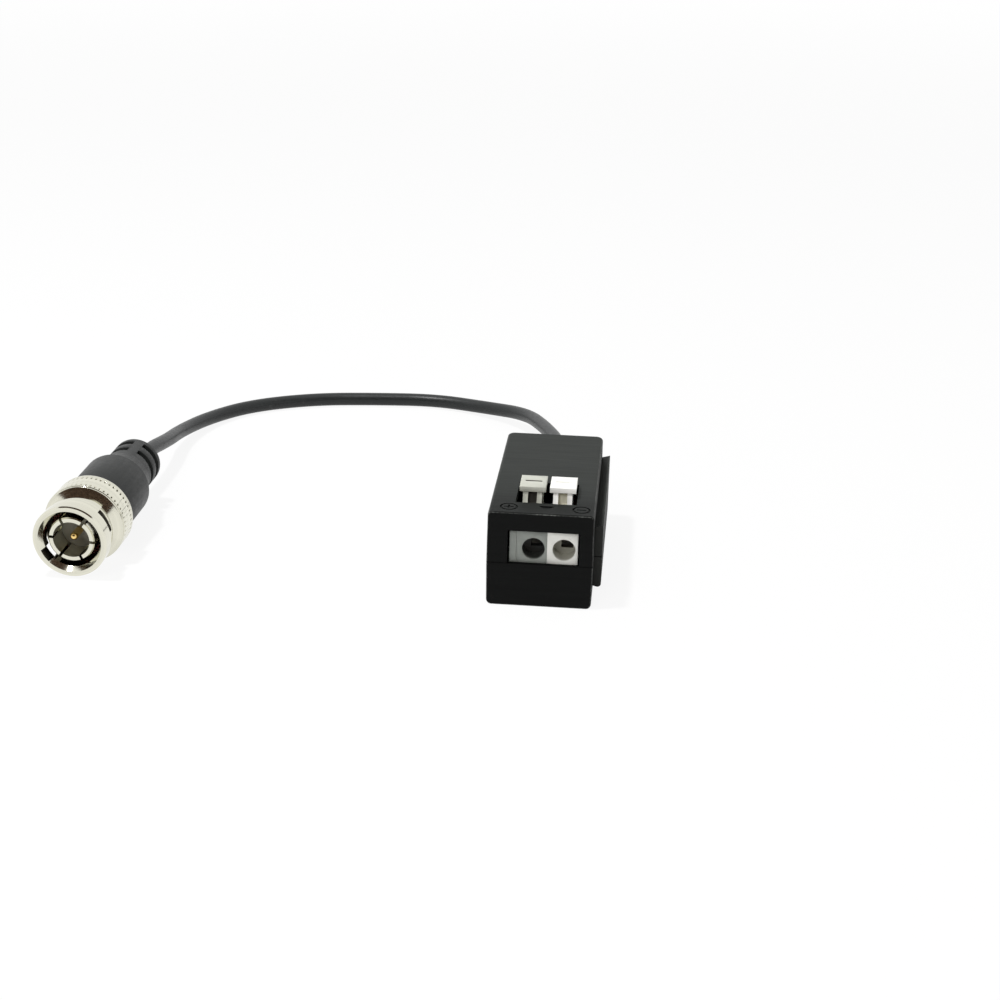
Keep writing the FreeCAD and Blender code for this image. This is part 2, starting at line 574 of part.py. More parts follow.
# Lower shell: the tray, with the locating lip on three sides, posts and pegs
# for the board, the saddle rib for the cable and the lower rail half.
def lower_shell():
    shell = body("lower_shell")
    outline = sketch(shell, "lower_outline", "XY_Plane", "parting_height")
    rectangle(outline, LEFT, RIGHT, FRONT, BACK)
    block = pad(shell, outline, "parting_height", reverse=True, taper="-mould_draft")
    seam = mm("parting_height") - 0.1
    rear = round_edges(shell, block, "rear_corner", lambda e: upright(e) and e.BoundBox.YMin > 0)
    sole = round_edges(shell, rear, "bottom_edge", lambda e: e.BoundBox.ZMax < 0.01 and e.BoundBox.YMax > 0)
    round_edges(shell, sole, "front_edge", lambda e: front_edge(e) and e.BoundBox.ZMin < seam)
    hollow = rectangle(sketch(shell, "lower_hollow", "XY_Plane", "parting_height"),
                       CAVITY_LEFT, CAVITY_RIGHT, CAVITY_FRONT, CAVITY_BACK)
    pocket(shell, hollow, "parting_height - floor_wall")
    seat = rectangle(sketch(shell, "terminal_seat", "XY_Plane", "parting_height"),
                     f"{STACK_LEFT} - window_gap", f"{STACK_LEFT} + {STACK_WIDTH} + window_gap",
                     f"{FRONT} + wall / 2", f"{CAVITY_FRONT} + wall")
    pocket(shell, seat, f"parting_height - {BOARD_BOTTOM}")
    lip = sketch(shell, "lip", "XY_Plane", f"parting_height - lip_height")
    polygon(lip, [(f"{CAVITY_LEFT} - lip_thickness", f"{CAVITY_FRONT} + wall"),
                  (CAVITY_LEFT, f"{CAVITY_FRONT} + wall"),
                  (CAVITY_LEFT, CAVITY_BACK),
                  (CAVITY_RIGHT, CAVITY_BACK),
                  (CAVITY_RIGHT, f"{CAVITY_FRONT} + wall"),
                  (f"{CAVITY_RIGHT} + lip_thickness", f"{CAVITY_FRONT} + wall"),
                  (f"{CAVITY_RIGHT} + lip_thickness", f"{CAVITY_BACK} + lip_thickness"),
                  (f"{CAVITY_LEFT} - lip_thickness", f"{CAVITY_BACK} + lip_thickness")])
    pad(shell, lip, "2 * lip_height")
    posts = sketch(shell, "posts", "XY_Plane", "floor_wall - wall / 2")
    for across, along in board_posts() + front_posts():
        circle(posts, across, along, "post_radius")
    pad(shell, posts, f"{BOARD_BOTTOM} - floor_wall + wall / 2")
    pegs = sketch(shell, "pegs", "XY_Plane", "floor_wall")
    for across, along in board_posts():
        circle(pegs, across, along, "peg_radius")
    pad(shell, pegs, "board_top + peg_stand - floor_wall")
    saddle = rectangle(sketch(shell, "saddle", "XZ_Plane", SADDLE_BACK),
                       "cable_side - saddle_width / 2", "cable_side + saddle_width / 2",
                       "floor_wall - wall / 2", "parting_height + saddle_rise")
    pad(shell, saddle, "saddle_thickness")
    rail_and_channel(shell, "parting_height", "rail_bottom", "1")
    notch = circle(sketch(shell, "saddle_notch", "XZ_Plane", SADDLE_BACK), "cable_side", "parting_height",
                   "cable_radius + bush_bore_clearance")
    pocket(shell, notch, "4 * saddle_thickness", middle=True)
    entry = rectangle(sketch(shell, "saddle_entry", "XZ_Plane", SADDLE_BACK),
                      "cable_side - cable_radius", "cable_side + cable_radius",
                      "parting_height", "parting_height + 2 * saddle_rise")
    pocket(shell, entry, "4 * saddle_thickness", middle=True)
    exit_hole = circle(sketch(shell, "lower_exit", "XZ_Plane", BACK), "cable_side", "parting_height",
                       "bush_neck + bush_clearance")
    pocket(shell, exit_hole, "2 * (wall + lip_thickness)", middle=True)
    return piece("lower_shell", shell)


def board_posts():
    """Places of the posts with pegs, on both sides of the cavity."""
    sides = (f"{CAVITY_LEFT} + post_inset", f"{CAVITY_RIGHT} - post_inset")
    rows = (f"{TERMINAL_BACK} + middle_post_gap", f"{BACK} - rear_post_gap")
    return [(side, row) for row in rows for side in sides]


def front_posts():
    """Places of the plain posts under the terminal."""
    sides = (f"{CAVITY_LEFT} + post_inset", f"{CAVITY_RIGHT} - post_inset")
    return [(side, f"{FRONT} + front_post_gap") for side in sides]


# Circuit board with holes for the pegs and the solder pins.
def circuit_board():
    slab = box("board_slab",
               (f"{CAVITY_LEFT} + board_clearance", f"{FRONT} + board_front_gap", BOARD_BOTTOM),
               (f"{CAVITY_RIGHT} - {CAVITY_LEFT} - 2 * board_clearance",
                "housing_length - board_front_gap - board_back_gap", "board_thickness"))
    holes = []
    for index, (across, along) in enumerate(board_posts()):
        holes.append(cylinder(f"peg_hole_{index}", "peg_radius + peg_clearance", "3 * board_thickness",
                              (across, along, f"{BOARD_BOTTOM} - board_thickness")))
    for name, left in modules():
        holes.append(box(f"pin_hole_{name}",
                         (f"{left} + spring_offset - pin_width / 2 - pin_clearance",
                          f"{TERMINAL_FRONT} + pin_back - contact_thickness / 2 - pin_clearance",
                          f"{BOARD_BOTTOM} - board_thickness"),
                         ("pin_width + 2 * pin_clearance", "contact_thickness + 2 * pin_clearance",
                          "3 * board_thickness")))
    return piece("circuit_board", cut("circuit_board", slab, *holes))


def modules():
    """Names of the two terminal modules and their left faces."""
    left = f"({STACK_LEFT} + plate_thickness)"
    return [("grey", left), ("white", f"({left} + terminal_pitch)")]


# End plate that closes the left side of the terminal.
def terminal_end_plate():
    plate = box("terminal_end_plate", (STACK_LEFT, TERMINAL_FRONT, "board_top"),
                ("plate_thickness", "terminal_length", "terminal_height"))
    return piece("terminal_end_plate", plate)


# Terminal module: a block with a round wire entry, a square throat, a cell
# for the spring that is open to the left and on top, and a round socket with
# an open mouth in which the lever's nose turns.
def terminal_module(name, left):
    node = f"terminal_module_{name}"
    block = box(f"{node}_block", (left, TERMINAL_FRONT, "board_top"),
                ("terminal_pitch", "terminal_length", "terminal_height"))
    entry_height = "board_top + wire_height"
    entry = cylinder(f"{node}_entry", "wire_hole / 2", "wire_funnel + terminal_recess",
                     (f"{left} + wire_offset", FRONT, entry_height), "y")
    throat = box(f"{node}_throat",
                 (f"{left} + wire_offset + throat_shift - throat_width / 2",
                  f"{TERMINAL_FRONT} + wire_funnel", f"{entry_height} - throat_height / 3"),
                 ("throat_width", "cell_front - wire_funnel + cell_length / 2", "throat_height"))
    cell = box(f"{node}_cell", (left, f"{TERMINAL_FRONT} + cell_front", "board_top + cell_floor"),
               ("cell_width", "cell_length", "terminal_height"))
    pivot = (left, f"{TERMINAL_FRONT} + pivot_back", "board_top + pivot_height")
    socket = cylinder(f"{node}_socket", "pivot_radius + pivot_clearance", "cell_width", pivot, "x")
    mouth = box(f"{node}_mouth",
                (left, f"{TERMINAL_FRONT} + cell_front", "board_top + pivot_height + mouth_height"),
                ("cell_width", "pivot_back - cell_front + pivot_radius", "terminal_height"))
    slot = box(f"{node}_pin_slot",
               (f"{left} + spring_offset - pin_width / 2 - pin_clearance",
                f"{TERMINAL_FRONT} + pin_back - contact_thickness / 2 - pin_clearance",
                "board_top - cell_floor"),
               ("pin_width + 2 * pin_clearance", "contact_thickness + 2 * pin_clearance", "3 * cell_floor"))
    return piece(node, cut(node, block, entry, throat, cell, socket, mouth, slot))


# Lever: a T-shaped press lever. Its round nose turns in the module's socket,
# a rear leg carries the head, and an arm slopes forward to the foot that
# presses the clamp spring. The body's own origin is the pivot.
def lever(name, left):
    node = f"lever_{name}"
    item = body(node)
    side = polygon(sketch(item, f"{node}_side", "YZ_Plane"), [
        ("-head_reach + neck_setback", "head_stand + head_thickness / 2"),
        ("-head_reach + neck_setback", "head_stand"),
        ("-foot_reach", "foot_top"),
        ("-foot_reach", "foot_height"),
        ("-foot_reach + foot_length", "foot_height - foot_length / 6"),
        ("-foot_reach + foot_length + neck_thickness", "foot_top + pivot_radius"),
        ("-neck_thickness", "foot_top + neck_thickness"),
        ("-neck_thickness / 2", "pivot_radius / 2"),
        ("neck_thickness / 2", "pivot_radius / 2"),
        ("neck_thickness / 2", "head_stand + head_thickness / 2")])
    pad(item, side, "neck_width", middle=True)
    nose = circle(sketch(item, f"{node}_nose", "YZ_Plane"), "0", "0", "pivot_radius")
    pad(item, nose, "neck_width", middle=True)
    head = rectangle(sketch(item, f"{node}_head", "YZ_Plane"), "-head_reach", "head_length - head_reach",
                     "head_stand", "head_stand + head_thickness")
    pad(item, head, "head_width", middle=True)
    groove = polygon(sketch(item, f"{node}_groove", "YZ_Plane"), [
        ("-foot_reach - groove_depth", "head_stand"),
        ("-foot_reach - groove_depth", "foot_top"),
        ("-foot_reach + groove_depth", "foot_top"),
        ("-head_reach + neck_setback + groove_depth", "head_stand")])
    pocket(item, groove, "groove_width", middle=True)
    slot = rectangle(sketch(item, f"{node}_slot", "YZ_Plane"), "-head_reach + head_length / 2",
                     "-head_reach + head_length / 2 + slot_width",
                     "head_stand + head_thickness - slot_depth", "head_stand + 2 * head_thickness")
    pocket(item, slot, "head_width * 0.64", middle=True)
    move(item, f"{left} + lever_offset", f"{TERMINAL_FRONT} + pivot_back", "board_top + pivot_height")
    return piece(node, item)


def bent_strip(points, radius, thickness, width):
    """Sheet strip along a path in the YZ plane, centred on X, with round bends."""
    path = [Vector(0, y, z) for y, z in points]
    strip = rounded_path(path, [radius] * (len(path) - 2))
    start = strip.Edges[0].tangentAt(strip.Edges[0].FirstParameter)
    normal = start.cross(Vector(1, 0, 0))
    corners = [path[0] + Vector(1, 0, 0) * (a * width / 2) + normal * (b * thickness / 2)
               for a, b in ((-1, -1), (1, -1), (1, 1), (-1, 1), (-1, -1))]
    return strip.makePipeShell([Part.makePolygon(corners)], True, False, 1)


def rounded_path(path, radii):
    """Wire of straight runs joined by tangent arcs of given radii."""
    parts = []
    start = path[0]
    for before, corner, after, radius in zip(path, path[1:], path[2:], radii):
        inward = (corner - before).normalize()
        outward = (after - corner).normalize()
        turn = inward.getAngle(outward)
        reach = radius * math.tan(turn / 2)
        first = corner - inward * reach
        last = corner + outward * reach
        middle = corner + (outward - inward).normalize() * (radius / math.cos(turn / 2) - radius)
        parts.append(Part.LineSegment(start, first).toShape())
        parts.append(Part.Arc(first, middle, last).toShape())
        start = last
    parts.append(Part.LineSegment(start, path[-1]).toShape())
    return Part.Wire(parts)


def formed(name, shape, place, turn=0.0):
    """Piece whose form comes from a path, set at its place."""
    item = doc.addObject("Part::Feature", name)
    item.Shape = shape
    item.Placement = Placement(place, Rotation(Vector(0, 0, 1), turn))
    return item


def module_place(index):
    """Point on the board under a spring, in line with its module's face."""
    left = mm("stack_centre") - mm("terminal_pitch") + mm("plate_thickness") / 2
    across = left + index * mm("terminal_pitch") + mm("spring_offset")
    return Vector(across, -mm("housing_length") / 2 + mm("terminal_recess"), mm("board_top"))


# Clamp spring: a back leg, a top leaf under the lever's foot, and a tongue
# that slants back down on to the contact bar.
def clamp_spring(name, index):
    top = mm("spring_height")
    bar_top = mm("contact_height") + mm("contact_thickness") / 2
    path = [(mm("spring_back"), mm("cell_floor") + mm("spring_thickness") / 2), (mm("spring_back"), top),
            (mm("spring_front"), top), (mm("tongue_back"), bar_top + mm("spring_thickness"))]
    shape = bent_strip(path, mm("spring_bend"), mm("spring_thickness"), mm("spring_width"))
    node = f"clamp_spring_{name}"
    return piece(node, formed(node, shape, module_place(index)))


# Contact bar: the wire is clamped on its level end, and its other end is the
# solder pin through the board.
def contact_bar(name, index):
    level = mm("contact_height")
    end = -mm("board_thickness") - mm("pin_stand")
    path = [(mm("contact_front"), level), (mm("pin_back"), level), (mm("pin_back"), end)]
    shape = bent_strip(path, mm("contact_bend"), mm("contact_thickness"), mm("contact_width"))
    slim = mm("contact_width") - mm("pin_width")
    shoulder = mm("contact_height") - 2 * mm("contact_bend")
    trims = [Part.makeBox(slim, 2.0, shoulder - end + 1, Vector(x, mm("pin_back") - 1.0, end - 1))
             for x in (mm("pin_width") / 2, -mm("pin_width") / 2 - slim)]
    node = f"contact_bar_{name}"
    return piece(node, formed(node, shape.cut(trims), module_place(index)))


# Surge protector: a coated disc that stands on two leads.
def surge_protector():
    middle = f"board_top + disc_stand + disc_radius"
    disc = cylinder("surge_disc", "disc_radius", "disc_thickness",
                    (CAVITY_MIDDLE, DISC_FRONT, middle), "y")
    leads = [cylinder(f"surge_lead_{i}", "lead_radius", "disc_stand + disc_radius",
                      (f"{CAVITY_MIDDLE} + {side} * disc_radius * 0.7",
                       f"{DISC_FRONT} + disc_thickness / 2", "board_top"))
             for i, side in enumerate((-1, 1))]
    return piece("surge_protector", fuse("surge_protector", disc, *leads))


# Ferrite ring of the balun, lying over the board on its windings.
def toroid_core():
    start = (CAVITY_MIDDLE, CORE_MIDDLE, "board_top + wire_layer + winding_clearance")
    outer = cylinder("core_outer", "core_radius", "core_height", ("0", "0", "0"))
    inner = cylinder("core_inner", "core_bore", "3 * core_height", ("0", "0", "-core_height"))
    return piece("toroid_core", move(cut("toroid_core", outer, inner), *start))


# One winding of the balun: a layer of wire round the ring's section, with
# the single turns standing out of it.
def winding(name, ring, start_angle):
    gap = mm("winding_clearance")
    layer = mm("wire_layer")
    inner, outer = mm("core_bore") - gap, mm("core_radius") + gap
    height = mm("core_height") + 2 * gap

    def jacket(thickness, span):
        low, high = inner - thickness, outer + thickness
        shell = Part.makeCylinder(high, height + 2 * thickness, Vector(0, 0, -thickness),
                                  Vector(0, 0, 1), span)
        hole = Part.makeCylinder(low, height + 4 * thickness, Vector(0, 0, -2 * thickness))
        space = Part.makeCylinder(outer, height).cut(Part.makeCylinder(inner, height))
        return shell.cut([hole, space])

    span = mm("winding_span")
    count = int(mm("turn_count"))
    turns = []
    for i in range(count):
        turn = jacket(layer, span / (2 * count))
        turn.rotate(Vector(), Vector(0, 0, 1), (i + 0.25) * span / count)
        turns.append(turn)
    shape = jacket(layer * 0.6, span).fuse(turns).removeSplitter()
    place = ring.Placement.Base - Vector(0, 0, gap)
    return piece(name, formed(name, shape, place, start_angle))


# Two chip resistors between the ring and the cable.
def chip_resistors():
    for name, across in (("chip_resistor_left", f"{CAVITY_LEFT} + chip_wall_gap"),
                         ("chip_resistor_right", f"{CAVITY_RIGHT} - chip_wall_gap - chip_width")):
        chip = box(name, (across, f"{BACK} - chip_gap - chip_length / 2", "board_top"),
                   ("chip_width", "chip_length", "chip_height"))
        piece(name, chip)


# Bush: a grooved rubber ring that both shells clamp in the cable opening.
def cable_bush():
    bore = "cable_radius + bush_bore_clearance"
    item = revolve("cable_bush", [
        (bore, "-bush_inner"), ("bush_flange", "-bush_inner"), ("bush_flange", "-bush_clearance"),
        ("bush_neck", "-bush_clearance"), ("bush_neck", "wall + bush_clearance"),
        ("bush_flange", "wall + bush_clearance"), ("bush_flange", "wall + bush_outer / 2"),
        ("bush_flange - bush_outer / 2", "wall + bush_outer"), (bore, "wall + bush_outer")])
    item.Placement = Placement(Vector(), TURNS["y"])
    move(item, "cable_side", CAVITY_BACK, "parting_height")
    return piece("cable_bush", item)


# Cable tie that keeps the cable from being pulled out.
def cable_tie():
    bore = "cable_radius + bush_bore_clearance"
    start = ("cable_side", f"{TIE_BACK} - tie_width", "parting_height")
    band = cylinder("tie_band", f"{bore} + tie_thickness", "tie_width", start, "y")
    head = box("tie_head", (f"cable_side - cable_radius", start[1], "parting_height + cable_radius"),
               ("2 * cable_radius", "tie_width", "1.6 * tie_thickness"))
    hole = cylinder("tie_hole", bore, "3 * tie_width",
                    ("cable_side", f"{TIE_BACK} - 2 * tie_width", "parting_height"), "y")
    return piece("cable_tie", cut("cable_tie", fuse("tie_blank", band, head), hole))


# Inner insulation of the cable, bared at its end over the board.
def coax_insulation():
    start = ("cable_side", f"{JACKET_END} - cable_radius", "parting_height")
    return piece("coax_insulation", cylinder("coax_insulation", "core_wire", "cable_radius", start, "y"))


# Inner conductor, bent down to its pad on the board.
def coax_conductor():
    end = mm("housing_length") / 2 - mm("jacket_end") - mm("cable_radius")
    level = mm("parting_height")
    pad_height = mm("board_top")
    side = mm("cable_side")
    reach = level - pad_height
    path = [Vector(side, end, level), Vector(side, end - reach, level),
            Vector(side, end - reach, pad_height)]
    wire = rounded_path(path, [3 * mm("conductor")])
    section = Part.Wire(Part.makeCircle(mm("conductor"), path[0], Vector(0, 1, 0)))
    bent = wire.makePipeShell([section], True, False)
    return piece("coax_conductor", formed("coax_conductor", bent, Vector()))


# Braid of the cable, twisted to a tail and laid to its pad.
def coax_braid():
    end = mm("housing_length") / 2 - mm("jacket_end")
    level = mm("parting_height")
    pad_height = mm("board_top")
    radius = (mm("cable_radius") - mm("core_wire")) / 2 * 0.9
    side = mm("cable_side") + mm("core_wire") + radius + mm("conductor") / 4
    path = [Vector(side, end, level), Vector(side, end - 4 * radius, level),
            Vector(side + 4 * radius, end - 8 * radius, pad_height + radius),
            Vector(side + 4 * radius, end - 12 * radius, pad_height + radius)]
    wire = rounded_path(path, [2 * radius, 2 * radius])
    section = Part.Wire(Part.makeCircle(radius, path[0], Vector(0, 1, 0)))
    return piece("coax_braid", formed("coax_braid", wire.makePipeShell([section], True, False), Vector()))


# Route of the pigtail: out of the housing's back, down on to the ground in a
# wide bend to the left, and up again into the plug's boot. The last two
# points lie on the plug's axis.
CABLE_ROUTE = [
    (0.6, 12.8, 7.7),
    (0.6, 27.3, 7.7),
    (-0.3, 41.8, 7.2),
    (-4.0, 55.7, 5.6),
    (-8.8, 69.5, 3.6),
    (-18.4, 77.6, 1.9),
    (-30.0, 82.4, 1.45),
    (-43.4, 81.2, 1.45),
    (-56.5, 79.0, 1.45),
    (-69.2, 72.4, 1.45),
    (-76.2, 62.0, 1.8),
    (-79.0, 49.0, 3.1),
    (-78.1, 36.2, 5.6),
    (-78.575, 23.009, 8.116),
    (-78.941, 9.018, 7.749),
]
ARC_SHARE = 0.45


def video_cable():
    path = [Vector(*point) for point in CABLE_ROUTE]
    radii = []
    for before, corner, after in zip(path, path[1:], path[2:]):
        inward, outward = corner - before, after - corner
        run = min(inward.Length, outward.Length)
        radii.append(ARC_SHARE * run / math.tan(inward.getAngle(outward) / 2))
    print("cable bend radii", [round(radius, 1) for radius in radii])
    route = rounded_path(path, radii)
    section = Part.Wire(Part.makeCircle(mm("cable_radius"), path[0], path[1] - path[0]))
    tube = route.makePipeShell([section], True, False)
    expected = math.pi * mm("cable_radius") ** 2 * route.Length
    print("cable length", round(route.Length, 2), "volume", round(tube.Volume, 2))
    if abs(tube.Volume - expected) > 0.01 * expected:
        raise RuntimeError("cable tube has the wrong volume")
    return piece("video_cable", formed("video_cable", tube, Vector()))


# The plug's pieces are turned about their own Z, which runs from the mating
# face to the boot, and then laid on the ground along the housing.
PLUG_HEIGHT = "(knurl_radius * cos(plug_rise) - knurl_start * sin(plug_rise) + rest_gap)"


def on_plug(item):
    """Lay a piece of the plug at its place."""
    bind(item, "Placement.Rotation.Yaw", "-plug_yaw")
    bind(item, "Placement.Rotation.Roll", "plug_rise - 90")
    return move(item, "plug_x", "plug_y", PLUG_HEIGHT)


# Coupling nut: a bayonet collar, a neck and a grip ring. Two entry grooves
# lead to helical cams behind the front rim, and a window opens at each.
def coupling_nut():
    turned = revolve("nut_turned", [
        ("nut_bore", "mouth_depth"), ("mouth_radius", "0"),
        ("collar_radius - collar_round", "0"), ("collar_radius", "collar_round"),
        ("collar_radius", "collar_length"), ("nut_neck", "collar_length"),
        ("nut_neck", "knurl_start"), ("knurl_radius - knurl_chamfer", "knurl_start"),
        ("knurl_radius", "knurl_start + knurl_chamfer"), ("knurl_radius", "nut_length - knurl_chamfer"),
        ("knurl_radius - knurl_chamfer", "nut_length"), ("nut_chamber", "nut_length"),
        ("nut_chamber", "ring_start + ring_thickness + ring_clearance"),
        ("ring_groove", "ring_start + ring_thickness + ring_clearance"),
        ("ring_groove", "ring_start - ring_clearance"), ("nut_chamber", "ring_start - ring_clearance"),
        ("nut_chamber", "chamber_start"), ("nut_bore", "chamber_start")])
    tools = [entry_grooves()]
    for index, half_turn in enumerate((0, 180)):
        tools += [cam(index, half_turn), cam_window(index, half_turn)]
        tools += [collar_relief(index, half_turn), collar_ramp(index, half_turn)]
    return piece("coupling_nut", on_plug(cut("coupling_nut", turned, *tools)))


def entry_grooves():
    """Both entry grooves, cut with one bar across the bore."""
    length = "rim_length + lug_width + mouth_depth"
    bar = box("entry_bar", ("-lug_circle", "-lug_width / 2", "-mouth_depth"),
              ("2 * lug_circle", "lug_width", length))
    rounding = cylinder("entry_circle", "lug_circle", length, ("0", "0", "-mouth_depth"))
    grooves = doc.addObject("Part::Common", "entry_bar_rounded")
    grooves.Base = bar
    grooves.Tool = rounding
    turned = doc.addObject("Part::Compound", "entry_grooves")
    turned.Links = [grooves]
    bind(turned, "Placement.Rotation.Yaw", "entry_angle")
    return turned


def helical_bar(name, inner, outer, height, turn, rise):
    """Bar of rectangular section that climbs round the axis from angle 0."""
    spine = doc.addObject("Part::Helix", f"{name}_path")
    bind(spine, "Radius", inner)
    bind(spine, "Pitch", f"({rise}) * 360 / ({turn})")
    bind(spine, "Height", rise)
    section = doc.addObject("Sketcher::SketchObject", f"{name}_section")
    section.Placement = Placement(Vector(), Rotation(Vector(1, 0, 0), 90))
    rectangle(section, inner, outer, "0", height)
    sweep = doc.addObject("Part::Sweep", name)
    sweep.Sections = [section]
    sweep.Spine = (spine, ["Edge1"])
    sweep.Solid = True
    sweep.Frenet = True
    return sweep


def cam(index, half_turn):
    """Helical cam groove inside the collar, from its entry groove on."""
    bar = helical_bar(f"cam_{index}", "nut_bore - lug_width / 4", "lug_circle", "lug_width", "cam_turn",
                      "cam_rise")
    bind(bar, "Placement.Rotation.Yaw", f"entry_angle + {half_turn}")
    return move(bar, z="rim_length")


def collar_ramp(index, half_turn):
    """Space behind the stretch where the collar widens."""
    rise = "collar_length - rim_length - ramp_step"
    bar = helical_bar(f"collar_ramp_{index}", "nut_neck", "collar_radius + collar_round",
                      f"{rise} + collar_round", "ramp_turn", rise)
    bind(bar, "Placement.Rotation.Yaw", f"step_angle + relief_turn - {half_turn}")
    return move(bar, z="rim_length + ramp_step")


def wall_sector(name, half_turn, inside, height, turn):
    """Sector of a ring behind the rim, from the step on."""
    outer = doc.addObject("Part::Cylinder", f"{name}_outer")
    bind(outer, "Radius", "collar_radius + collar_round")
    bind(outer, "Height", height)
    bind(outer, "Angle", turn)
    move(outer, z="rim_length")
    bind(outer, "Placement.Rotation.Yaw", f"step_angle + {half_turn}")
    inner = cylinder(f"{name}_inner", inside, "2 * collar_length", ("0", "0", "0"))
    return cut(name, outer, inner)


def cam_window(index, half_turn):
    """Window through the wall where a cam leaves its entry groove."""
    return wall_sector(f"cam_window_{index}", half_turn, "sleeve_radius", "window_width", "window_turn")


def collar_relief(index, half_turn):
    """Stretch of the collar behind its rim that is turned down to the neck."""
    return wall_sector(f"collar_relief_{index}", half_turn, "nut_neck",
                       "collar_length - rim_length + collar_round", "relief_turn")


# Plug body: the contact sleeve with its six slots, the flange that the nut
# turns behind, the barrel and the crimp stem.
def plug_body():
    turned = revolve("body_turned", [
        ("sleeve_bore", "sleeve_start"), ("sleeve_radius - collar_round", "sleeve_start"),
        ("sleeve_radius", "sleeve_start + collar_round"), ("sleeve_radius", "flange_start"),
        ("flange_radius", "flange_start"), ("flange_radius", "flange_start + flange_thickness"),
        ("barrel_radius", "flange_start + flange_thickness"), ("barrel_radius", "barrel_end"),
        ("stem_radius", "barrel_end"), ("stem_radius", "stem_end"), ("stem_bore", "stem_end"),
        ("stem_bore", "insulator_end"), ("sleeve_bore", "insulator_end")])
    blades = []
    for index in range(int(mm("sleeve_slots")) // 2):
        blade = box(f"slot_blade_{index}", ("-sleeve_radius * 2", "-sleeve_slot / 2", "0"),
                    ("4 * sleeve_radius", "sleeve_slot", "sleeve_start + slot_length"))
        holder = doc.addObject("Part::Compound", f"slot_{index}")
        holder.Links = [blade]
        bind(holder, "Placement.Rotation.Yaw", f"slot_angle + {index} * 360 / sleeve_slots")
        blades.append(holder)
    return piece("plug_body", on_plug(cut("plug_body", turned, *blades)))


def turned_plug_pieces():
    """Insulator, centre pin, gasket, washer, ferrule and bared cable core."""
    hole = "pin_radius + insulator_clearance"
    rim = "sleeve_bore - insulator_clearance"
    insulator = revolve("plug_insulator", [
        (hole, "insulator_start"), (rim, "insulator_start"),
        (rim, "insulator_end - insulator_clearance"), (hole, "insulator_end - insulator_clearance")])
    pin = revolve("centre_pin", [
        ("0", "pin_start"), ("pin_tip", "pin_start"), ("pin_radius", "pin_start + pin_taper"),
        ("pin_radius", "insulator_end"), ("pin_crimp_radius", "insulator_end"),
        ("pin_crimp_radius", "pin_crimp_end"), ("0", "pin_crimp_end")])
    low = "flange_start - gasket_clearance - gasket_thickness"
    gasket = revolve("plug_gasket", [
        ("sleeve_radius + gasket_clearance", low), ("nut_bore - gasket_clearance", low),
        ("nut_bore - gasket_clearance", "flange_start - gasket_clearance"),
        ("sleeve_radius + gasket_clearance", "flange_start - gasket_clearance")])
    front = "flange_start + flange_thickness + washer_gap"
    back = "ring_start - washer_gap"
    washer = revolve("nut_spring_washer", [
        ("flange_radius", front), ("flange_radius", f"{front} + washer_thickness"),
        ("barrel_radius + barrel_clearance", back),
        ("barrel_radius + barrel_clearance", f"{back} - washer_thickness")])
    fit = "stem_radius + moulding_gap"
    grip = "cable_radius + moulding_gap"
    ferrule = revolve("crimp_ferrule", [
        (fit, "ferrule_start"), ("ferrule_radius", "ferrule_start"), ("ferrule_radius", "ferrule_step"),
        ("ferrule_crimp", "ferrule_step + ferrule_crimp / 2"), ("ferrule_crimp", "ferrule_end"),
        (grip, "ferrule_end"), (grip, "ferrule_step"), (fit, "stem_end + moulding_gap")])
    core = revolve("plug_cable_core", [
        ("0", "pin_crimp_end"), ("core_wire", "pin_crimp_end"),
        ("core_wire", "plug_jacket_end"), ("0", "plug_jacket_end")])
    for item in (insulator, pin, gasket, washer, ferrule, core):
        piece(item.Name, on_plug(item))


# Retaining ring: an open ring that snaps into the nut behind the washer.
def nut_retaining_ring():
    outer = doc.addObject("Part::Cylinder", "ring_outer")
    bind(outer, "Radius", "ring_groove - ring_clearance")
    bind(outer, "Height", "ring_thickness")
    bind(outer, "Angle", "360 - ring_opening")
    move(outer, z="ring_start")
    inner = cylinder("ring_inner", "barrel_radius + barrel_clearance", "2 * ring_start", ("0", "0", "0"))
    return piece("nut_retaining_ring", on_plug(cut("nut_retaining_ring", outer, inner)))


